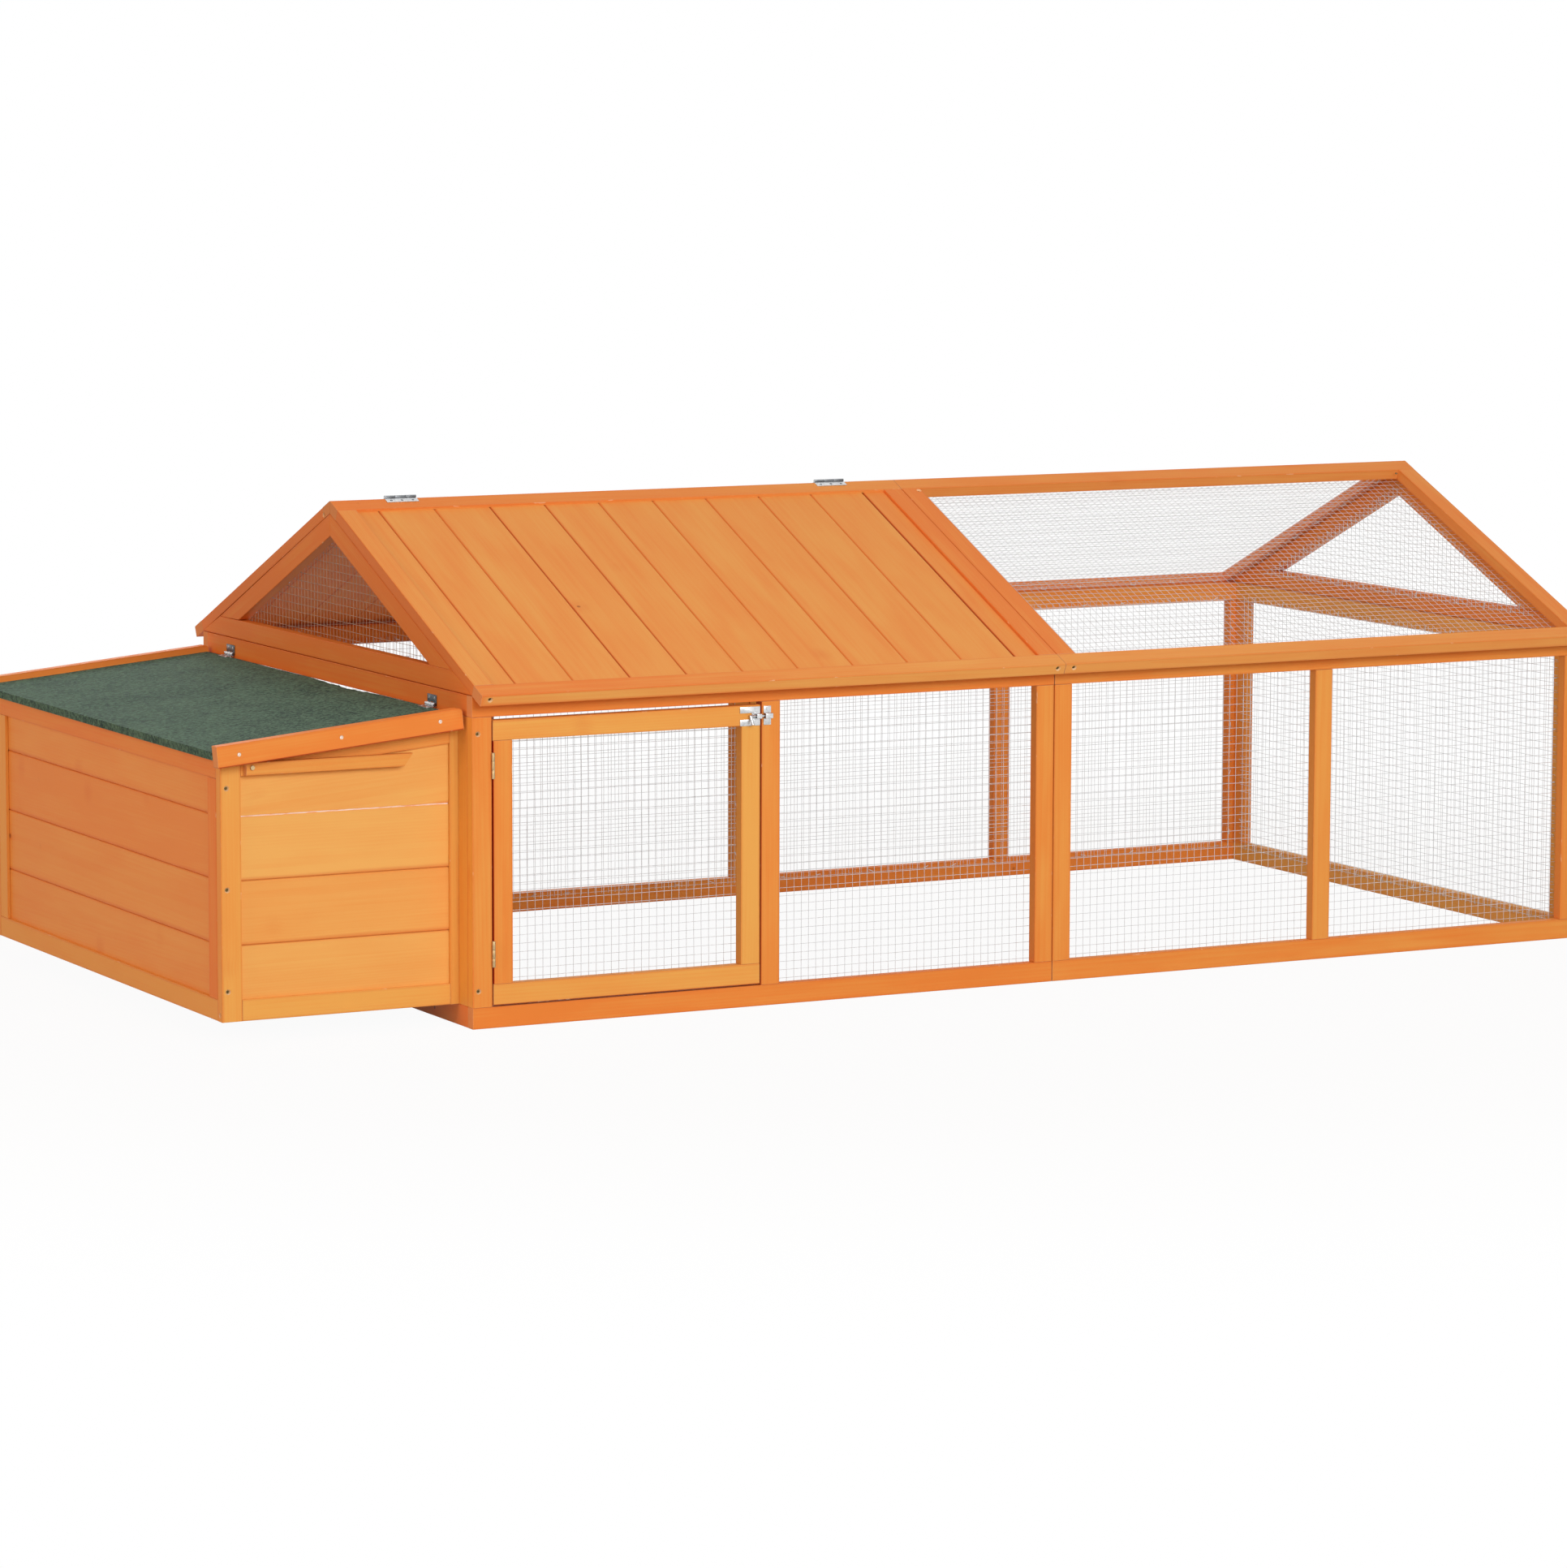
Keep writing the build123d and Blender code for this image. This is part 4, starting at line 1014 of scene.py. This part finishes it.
def net_tree():
    """A welded net: columns and rows of wire in a rectangle, or under two slopes that meet."""
    bench, given, out = opened(
        "Welded wire net", "GeometryNodeTree",
        {
            "Geometry": ("Geometry",), "Material": ("Material",),
            "Float": ("Width", "Height", "Slope", "Pitch", "Wire", "Ripple", "Seed"),
        },
        {"Geometry": ("Geometry",)},
    )
    margin = 0.0025

    def steps_in(size):
        """How often the pitch goes into a size, less its margins."""
        return bench.math("FLOOR", bench.ratio(bench.minus(size, 2 * margin), given["Pitch"]))

    def row(steps, first, step, start, end, scale):
        """A row of wires from a first place on, each drawn from start to end and scaled."""
        feeds = {"Count": bench.math("ADD", steps, 1.0), "Start Location": first, "Offset": step}
        points = bench.first("GeometryNodeMeshLine", feeds, mode="OFFSET", count_mode="TOTAL")
        wire = bench.first("GeometryNodeCurvePrimitiveLine", {"Start": start, "End": end})
        wire = bench.first("GeometryNodeResampleCurve", {"Curve": wire, "Count": 14})
        feeds = {"Points": points, "Instance": wire, "Scale": scale}
        return bench.first("GeometryNodeInstanceOnPoints", feeds)

    place = bench.first("GeometryNodeInputPosition")
    x, y, _ = bench.split(place)
    half = bench.times(given["Width"], 0.5)
    aside = bench.minus(half, bench.math("ABSOLUTE", x))
    tall = bench.math("MINIMUM", given["Height"], bench.times(aside, given["Slope"]))
    wide = bench.minus(half, bench.ratio(y, given["Slope"]))
    rise = bench.times(given["Wire"], 0.45)
    across, up = steps_in(given["Width"]), steps_in(given["Height"])
    left = bench.times(bench.times(across, given["Pitch"]), -0.5)
    columns = row(
        across, bench.join(left, 0.0, rise), bench.join(given["Pitch"], 0.0, 0.0),
        (0, 0, 0), (0, 1, 0), bench.join(1.0, tall, 1.0),
    )
    rows = row(
        up, bench.join(0.0, margin, bench.times(rise, -1.0)), bench.join(0.0, given["Pitch"], 0.0),
        (-1, 0, 0), (1, 0, 0), bench.join(wide, 1.0, 1.0),
    )
    both = bench.node("GeometryNodeJoinGeometry")
    bench.feed(both.inputs[0], rows)
    bench.feed(both.inputs[0], columns)
    wires = bench.first("GeometryNodeRealizeInstances", {0: both.outputs[0]})

    # The net is held at its edges and strays a little between them
    edge = bench.math("MINIMUM", bench.math("MINIMUM", aside, y), bench.minus(given["Height"], y))
    hold = bench.ramp(edge, 0.012, 0.08)
    wave = bench.vector("MULTIPLY_ADD", place, (7, 7, 0), bench.join(given["Seed"], 0.0, given["Seed"]))
    wave = bench.node("ShaderNodeTexNoise", {"Vector": wave, "Scale": 1.0, "Detail": 1.0}).outputs["Color"]
    stray = bench.vector("MULTIPLY", bench.vector("SUBTRACT", wave, (0.5, 0.5, 0.5)), (1.2, 1.2, 2.0))
    stray = bench.vector("MULTIPLY", stray, bench.times(hold, given["Ripple"]))
    wires = bench.first("GeometryNodeSetPosition", {"Geometry": wires, "Offset": stray})
    feeds = {"Resolution": 5, "Radius": bench.times(given["Wire"], 0.5)}
    ring = bench.first("GeometryNodeCurvePrimitiveCircle", feeds)
    feeds = {"Curve": wires, "Profile Curve": ring, "Fill Caps": True}
    return sealed(bench, given, out, bench.first("GeometryNodeCurveToMesh", feeds))


def net_lie(node):
    """How a node's net lies: its matrix, width, height and the rise of its sloped sides."""
    bm = copied(node)
    along = steady(long_way(bm.edges)[0])
    through = max(bm.faces, key=lambda face: face.calc_area()).normal.copy()
    spots = [corner.co.copy() for corner in bm.verts]
    inward = coop_middle - middle(list(bm.verts))
    bm.free()
    through = through if through.dot(inward) > 0 else -through
    up = through.cross(along)
    if up.z < 0:
        along, up = -along, -up
    span = lambda axis: (min(s.dot(axis) for s in spots), max(s.dot(axis) for s in spots))
    (left, right), (low, high), (near, far) = span(along), span(up), span(through)
    lie = Matrix((along, up, through)).transposed().to_4x4()
    lie.translation = along * (left + right) / 2 + up * low + through * (near + far) / 2
    width, height = right - left, high - low
    return lie, width, height, height / (width / 2) if "gable" in node else upright


class COOP_OT_wire_nets(bpy.types.Operator):
    """Weaves the welded wire of the walls, the gables and the run roof"""

    bl_idname = "coop.wire_nets"
    bl_label = "Wire Nets"

    def execute(self, context):
        wire = context.scene.coop_wire
        tree = net_tree()
        for index, node in enumerate(net_nodes):
            lie, width, height, slope = net_lie(node)
            # The house gable's net gets a wire darkened as painted shade
            zinc = metal("Shade-painted wire" if node == "house_gable_mesh" else "Galvanised wire")
            values = {
                "Width": width, "Height": height, "Slope": slope, "Pitch": wire.pitch,
                "Wire": wire.roof_wire if "_roof_" in node else wire.wire,
                "Ripple": wire.ripple, "Seed": 3.7 * index, "Material": zinc,
            }
            mesh = grown(bpy.data.meshes.new("empty"), tree, values)
            mesh.transform(lie)
            placed(mesh, f"{node}.wire", body_of(node), zinc, node)
        return {"FINISHED"}


# Screws and staples, set on points that know which way they face

def fastener_tree():
    """Sets a small shape on every point, turned to face out of the wood."""
    bench, given, out = opened(
        "Fasteners", "GeometryNodeTree",
        {"Geometry": ("Geometry",), "Object": ("Shape",), "Material": ("Material",)},
        {"Geometry": ("Geometry",)},
    )
    facing = bench.first("GeometryNodeInputNamedAttribute", {"Name": "facing"}, data_type="FLOAT_VECTOR")
    spin = bench.first("GeometryNodeInputNamedAttribute", {"Name": "spin"}, data_type="FLOAT")
    lean = bench.first("FunctionNodeAlignRotationToVector", {"Vector": facing}, axis="Z")
    turn = bench.first("FunctionNodeAxisAngleToRotation", {"Axis": (0, 0, 1), "Angle": spin})
    feeds = {"Rotation": lean, "Rotate By": turn}
    lean = bench.first("FunctionNodeRotateRotation", feeds, rotation_space="LOCAL")
    shape = bench.node("GeometryNodeObjectInfo", {"Object": given["Shape"]}).outputs["Geometry"]
    feeds = {"Points": given["Geometry"], "Instance": shape, "Rotation": lean}
    return sealed(bench, given, out, bench.first("GeometryNodeInstanceOnPoints", feeds))


def screw_head(diameter):
    """A countersunk head with a cross recess, flush with the wood at Z = 0."""
    radius, sides = diameter / 2, 16
    arm, slit, depth, crown = radius * 0.62, radius * 0.17, radius * 0.42, radius * 0.09
    angles = [2 * math.pi * step / sides for step in range(sides)]
    bm = bmesh.new()
    rings = []
    for reach, height in ((0.72, -radius * 0.5), (1.0, -0.00005), (0.93, crown)):
        spots = [(radius * reach * math.cos(a), radius * reach * math.sin(a), height) for a in angles]
        rings.append([bm.verts.new(spot) for spot in spots])
    skinned(bm, rings)
    cross = [(arm, -slit), (arm, slit), (slit, slit), (slit, arm), (-slit, arm), (-slit, slit)]
    cross += [(-x, -y) for x, y in cross]
    rim = [bm.verts.new((x, y, crown)) for x, y in cross]
    floor = [bm.verts.new((x * 0.7, y * 0.7, crown - depth)) for x, y in cross]
    top = rings[-1]
    edges = [bm.edges.new(pair) for pair in zip(rim, rim[1:] + rim[:1])]
    edges += [bm.edges.get(pair) for pair in zip(top, top[1:] + top[:1])]
    bmesh.ops.triangle_fill(bm, edges=edges, use_beauty=True, normal=(0, 0, 1))
    skinned(bm, [rim, floor])
    bm.faces.new(floor)
    bmesh.ops.recalc_face_normals(bm, faces=bm.faces)
    if bm.faces[0].normal.dot(Vector((*bm.faces[0].calc_center_median().xy, 0))) < 0:
        bmesh.ops.reverse_faces(bm, faces=bm.faces)
    return filled(bm)


def staple_crown(width):
    """The bar of a staple that lies on the net, with its legs going into the wood."""
    half, thick, leg = width / 2, 0.00055, 0.004
    flat = half * 0.85
    bm = bmesh.new()
    loops = []
    for x, z in ((-half, -leg), (-half, 0.0), (-flat, thick), (flat, thick), (half, 0.0), (half, -leg)):
        bend = 0.0 if abs(x) < half else math.copysign(1.0, x)
        corners = ((0, -thick), (thick, 0), (0, thick), (-thick, 0))
        spots = [(x + up * bend, side, z + up * (1 - abs(bend))) for side, up in corners]
        loops.append([bm.verts.new(spot) for spot in spots])
    skinned(bm, loops)
    bm.faces.new(loops[0])
    bm.faces.new(loops[-1])
    bmesh.ops.recalc_face_normals(bm, faces=bm.faces)
    return filled(bm)


def fastened(name, body, spots, shape, material):
    """Sets one shape on all the spots of a body. A spot is a place, a facing and a spin."""
    base = bpy.data.meshes.new("spots")
    base.from_pydata([spot[0] for spot in spots], [], [])
    base.attributes.new("facing", "FLOAT_VECTOR", "POINT")
    base.attributes.new("spin", "FLOAT", "POINT")
    for index, (_, way, turn) in enumerate(spots):
        base.attributes["facing"].data[index].vector = way
        base.attributes["spin"].data[index].value = turn
    model = linked("model", shape)
    tree = bpy.data.node_groups.get("Fasteners") or fastener_tree()
    mesh = grown(base, tree, {"Shape": model, "Material": material})
    bpy.data.objects.remove(model)
    bpy.data.meshes.remove(shape)
    placed(mesh, name, body, material)


def leaf_spots(node, steps):
    """Screws in the leaves of a hinge, along each leaf and a little out from its middle."""
    out_share = 0.2
    spots = []
    bm = copied(node)
    for group in parted(bm):
        faces = {face for corner in group for face in corner.link_faces}
        wide = sorted(faces, key=lambda face: -face.calc_area())[:2]
        outer = max(wide, key=lambda face: face.calc_center_median().dot(face.normal))
        centre = outer.calc_center_bounds()
        along, span = long_way(outer.edges)
        out = centre - middle(group)
        out -= along * out.dot(along) + outer.normal * out.dot(outer.normal)
        places = [centre + along * span * step + out * out_share for step in steps]
        spots += spun(places, outer.normal, node)
    bm.free()
    return spots


def plate_spots(node, lefts):
    """Screws in a bolt plate, at distances from its left edge, above and below the rod."""
    low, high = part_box(node)
    edge, front = 0.0046, front_y - 0.0015
    places = [(low.x + left, front, z) for left in lefts for z in (low.z + edge, high.z - edge)]
    return spun(places, (0, -1, 0), node)


class COOP_OT_screws(bpy.types.Operator):
    """Sets the screws of the walls, the roof, the nest box, the lid and the hardware"""

    bl_idname = "coop.screws"
    bl_label = "Screws"

    def execute(self, context):
        sizes = context.scene.coop_metal
        heads = {}
        for node, spots in screw_spots.items():
            finish, _, wide, depth = screw_kind(node)
            low = sizes.screw * depth
            lowered = [(place - facing * low, facing, turn) for place, facing, turn in spots]
            heads.setdefault((body_of(node), finish, wide), []).extend(lowered)
        for (body, finish, wide), spots in heads.items():
            name = f"{body}_{finish.split()[0].lower()}_screws"
            fastened(name, body, spots, screw_head(sizes.screw * wide), metal(finish))
        flat = {}
        for node in ("ridge_hinge_front_leaves", "ridge_hinge_rear_leaves"):
            flat[node] = leaf_spots(node, (-0.34, 0, 0.34))
        for node in ("lid_hinge_wall_leaves", "lid_hinge_lid_leaves"):
            flat[node] = leaf_spots(node, (-0.3, 0.3))
        flat["bolt_base"] = plate_spots("bolt_base", (0.0048, 0.0262))
        flat["bolt_keeper"] = plate_spots("bolt_keeper", (0.00625,))
        for node, spots in flat.items():
            finish = metal("Painted dark zinc" if node.startswith("ridge") else "Bright zinc")
            fastened(f"{node}_screws", body_of(node), spots, screw_head(sizes.small_screw), finish)
        return {"FINISHED"}


class COOP_OT_staples(bpy.types.Operator):
    """Staples the nets to the inner faces of their frames"""

    bl_idname = "coop.staples"
    bl_label = "Staples"

    def execute(self, context):
        wire = context.scene.coop_wire
        spots = {}
        for node in net_nodes:
            lie, width, height, slope = net_lie(node)
            draw = random.Random(node)
            corners = self.corners(width, height, slope)
            for start, end in zip(corners, corners[1:] + corners[:1]):
                way = end - start
                count = max(2, round(way.length / wire.staple_space))
                for step in range(count):
                    at = start.lerp(end, (step + 0.5 + draw.uniform(-0.25, 0.25)) / count)
                    place = lie @ Vector((at.x, at.y, wire.wire))
                    turn = draw.uniform(-0.5, 0.5) + math.atan2(way.y, way.x)
                    spots.setdefault(body_of(node), []).append((place, lie.to_3x3().col[2], turn))
        for body, found in spots.items():
            crown = staple_crown(wire.staple)
            fastened(f"{body}_staples", body, found, crown, metal("Galvanised wire"))
        return {"FINISHED"}

    def corners(self, width, height, slope):
        """Corners of the line that a net's staples follow."""
        inset = 0.005
        half, top = width / 2 - inset, height - inset
        corners = [(-half, inset), (half, inset), (half, top), (-half, top)]
        if slope < upright:
            reach = width / 2 - inset * (1 + math.sqrt(1 + slope * slope)) / slope
            corners = [(-reach, inset), (reach, inset), (0, inset + reach * slope)]
        return [Vector(corner) for corner in corners]


# Hinges, bolt and felt

def plated(node, material, eased, dull=None):
    """Stands an eased copy in for a metal node. The dull rule says how much painted dark reflection a
    place gets.
    """
    bm = copied(node)
    sharp = [edge for edge in bm.edges if edge.calc_face_angle_signed(0) > math.radians(35)]
    rounded(bm, sharp, eased, 2)
    tarnish = bm.faces.layers.float.new("tarnish")
    for face in bm.faces:
        face[tarnish] = dull(face.calc_center_bounds()) if dull else 0.0
    placed(smoothed(bm, 28), f"{node}.plated", body_of(node), material, node)


class COOP_OT_hardware(bpy.types.Operator):
    """Plates the hinges, the bolt and the prop's screw"""

    bl_idname = "coop.hardware"
    bl_label = "Hinges and Bolt"

    def execute(self, context):
        eased = context.scene.coop_metal.eased
        wall_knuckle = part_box("lid_hinge_wall_leaves")[0].z + 0.0068
        lid_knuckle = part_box("lid_hinge_lid_leaves")[1].x - 0.0068
        ridge_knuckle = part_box("ridge_hinge_front_leaves")[1].z - 0.0044
        plate_face = front_y - 0.0017
        # How much painted dark reflection each part gets at a place: knuckles, the lid hinge's wall leaf
        # and the bolt's plates
        ridge_painted_dark = lambda at: 0.75 if at.z > ridge_knuckle else 0.0
        dull = {
            "lid_hinge_wall_leaves": lambda at: 0.95 if at.z > wall_knuckle else 0.1,
            "lid_hinge_lid_leaves": lambda at: 0.5 if at.x < lid_knuckle else 0.1,
            "ridge_hinge_front_leaves": ridge_painted_dark,
            "ridge_hinge_rear_leaves": ridge_painted_dark,
            "bolt_base": lambda at: 0.08 if at.y > plate_face else 0.0,
            "bolt_keeper": lambda at: 0.05 if at.y > plate_face else 0.0,
            "bolt_rod": lambda at: 0.15,
        }
        for node in hinge_nodes + ["bolt_base", "bolt_rod", "bolt_keeper", "prop_pivot_screw"]:
            finish = metal("Tan zinc" if node.startswith(("door_hinge", "prop")) else "Bright zinc")
            plated(node, finish, eased, dull.get(node))
        return {"FINISHED"}


class COOP_OT_lid_felt(bpy.types.Operator):
    """Lays the mineral felt on the nest lid, swelling it a little and sinking its inner edge with the lid
    """

    bl_idname = "coop.lid_felt"
    bl_label = "Lid Felt"

    def execute(self, context):
        felt, node = context.scene.coop_felt, "nest_lid_felt"
        bm = copied(node)
        low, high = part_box(node)
        meshed(bm, (high.y - low.y) / felt.fineness)
        for corner in bm.verts:
            if corner.normal.z > 0.5:
                lift = noise.noise(corner.co * 9.0) + 0.5 * noise.noise(corner.co * 23.0)
                corner.co += corner.normal * felt.swell * lift
            corner.co.z -= lid_dip(corner.co) * (1.0 + 0.8 * noise.noise(corner.co * 60.0))
        material = dressed("Mineral felt", mineral_felt)
        placed(smoothed(bm, 40), f"{node}.laid", body_of(node), material, node)
        return {"FINISHED"}


# Stage

class COOP_OT_stage(bpy.types.Operator):
    """Sets the floor, the lamps and the camera"""

    bl_idname = "coop.stage"
    bl_label = "Stage"

    def execute(self, context):
        stage = context.scene.coop_stage
        context.scene.view_settings.view_transform = "Standard"
        self.world(context.scene, stage)
        self.floor(stage)
        front = Vector((0.0, -0.3, 0.3))
        white = (1.0, 1.0, 1.0)
        self.lamp("Key lamp", stage.key, white, (4.4, 2.4), (-0.6, -6.6, 2.75), front)
        self.lamp("Top lamp", stage.top, white, (3.0, 3.0), (0.0, -1.2, 6.0), front)
        self.lamp("Side lamp", stage.side, stage.shade, (2.4, 2.4), (-6.5, -0.9, 2.6), front)
        self.lamp("Back lamp", stage.back, white, (4.4, 2.4), (1.2, 6.8, 2.4), -front)
        self.camera(context.scene, stage)
        return {"FINISHED"}

    def seen_share(self, bench):
        """1 for rays that show the background: from the camera, in reflections and through glass."""
        path = bench.node("ShaderNodeLightPath").outputs
        share = bench.math("MAXIMUM", path["Is Camera Ray"], path["Is Glossy Ray"])
        return bench.math("MAXIMUM", share, path["Is Transmission Ray"])

    def world(self, scene, stage):
        scene.world = bpy.data.worlds.new("Studio")
        scene.world.use_nodes = True
        bench = Bench(scene.world.node_tree)
        background = bench.tree.nodes["Background"].inputs
        shown = self.seen_share(bench)
        bench.feed(background["Color"], bench.blend(shown, rgba(stage.shade), (1, 1, 1, 1)))
        bench.feed(background["Strength"], bench.times_plus(shown, 1.0 - stage.ambient, stage.ambient))

    def floor(self, stage):
        reach, ground = 30.0, -0.0006
        mesh = bpy.data.meshes.new("floor")
        corners = [(x * reach, y * reach, ground) for x, y in ((-1, -1), (1, -1), (1, 1), (-1, 1))]
        mesh.from_pydata(corners, [], [(0, 1, 2, 3)])
        mesh.materials.append(dressed("Floor", self.pale_floor, stage))
        linked("floor", mesh)

    def pale_floor(self, bench, inputs, stage):
        """A pale floor that keeps shadows and shows near white."""
        inputs["Base Color"].default_value = rgba(stage.floor)
        inputs["Roughness"].default_value = 0.9
        inputs["Specular IOR Level"].default_value = 0.0
        glow = bench.first("ShaderNodeEmission", {"Color": (1, 1, 1, 1), "Strength": 1.0})
        share = bench.ramp(bench.vector("LENGTH", bench.place()), 1.2, 3.0, 0.95, 1.0)
        share = bench.times(self.seen_share(bench), share)
        nodes = bench.tree.nodes
        feeds = {0: share, 1: nodes["Principled BSDF"].outputs[0], 2: glow}
        mixed = bench.first("ShaderNodeMixShader", feeds)
        bench.feed(nodes["Material Output"].inputs["Surface"], mixed)

    def lamp(self, name, watts, tint, size, place, aim):
        data = bpy.data.lights.new(name, "AREA")
        data.color = tint
        data.shape = "RECTANGLE"
        data.size, data.size_y = size
        data.energy = watts
        lamp = linked(name, data)
        lamp.location = place
        lamp.rotation_euler = (aim - Vector(place)).to_track_quat("-Z", "Y").to_euler()
        lamp.visible_camera = False

    def camera(self, scene, stage):
        data = bpy.data.cameras.new("Camera")
        data.sensor_fit = "HORIZONTAL"
        data.sensor_width = 36.0
        data.lens = stage.lens
        data.clip_end = 200.0
        scene.camera = linked("Camera", data)
        turn = Matrix.Rotation(stage.turn, 4, "Z") @ Matrix.Rotation(math.pi / 2 - stage.rise, 4, "X")
        turn = turn @ Matrix.Rotation(stage.roll, 4, "Z")
        scene.camera.matrix_world = Matrix.Translation(stage.eye) @ turn


# Add-on

class COOP_PT_sidebar(bpy.types.Panel):
    """Lists the steps that dress the coop and their settings"""

    bl_idname = "COOP_PT_sidebar"
    bl_label = "Chicken Coop"
    bl_space_type = "VIEW_3D"
    bl_region_type = "UI"
    bl_category = "Coop"

    def draw(self, context):
        for step in dress_steps:
            self.layout.operator(step.bl_idname)
        for name in setting_groups:
            box = self.layout.box()
            settings = getattr(context.scene, name)
            for key in settings.__annotations__:
                box.prop(settings, key)


setting_groups = {
    "coop_wood": CoopWood,
    "coop_wire": CoopWire,
    "coop_metal": CoopMetal,
    "coop_felt": CoopFelt,
    "coop_stage": CoopStage,
}
dress_steps = (
    COOP_OT_stage,
    COOP_OT_frame_sticks,
    COOP_OT_boards,
    COOP_OT_wire_nets,
    COOP_OT_staples,
    COOP_OT_hardware,
    COOP_OT_screws,
    COOP_OT_lid_felt,
)


def register():
    for made in (*setting_groups.values(), *dress_steps, COOP_PT_sidebar):
        bpy.utils.register_class(made)
    for name, made in setting_groups.items():
        setattr(bpy.types.Scene, name, PointerProperty(type=made))


def unregister():
    for name in setting_groups:
        delattr(bpy.types.Scene, name)
    for made in reversed((*setting_groups.values(), *dress_steps, COOP_PT_sidebar)):
        bpy.utils.unregister_class(made)


def main():
    register()
    bpy.ops.coop.stage()
    bpy.ops.coop.frame_sticks()
    bpy.ops.coop.boards()
    bpy.ops.coop.wire_nets()
    bpy.ops.coop.staples()
    bpy.ops.coop.hardware()
    bpy.ops.coop.screws()
    bpy.ops.coop.lid_felt()


if __name__ == "__main__":
    main()
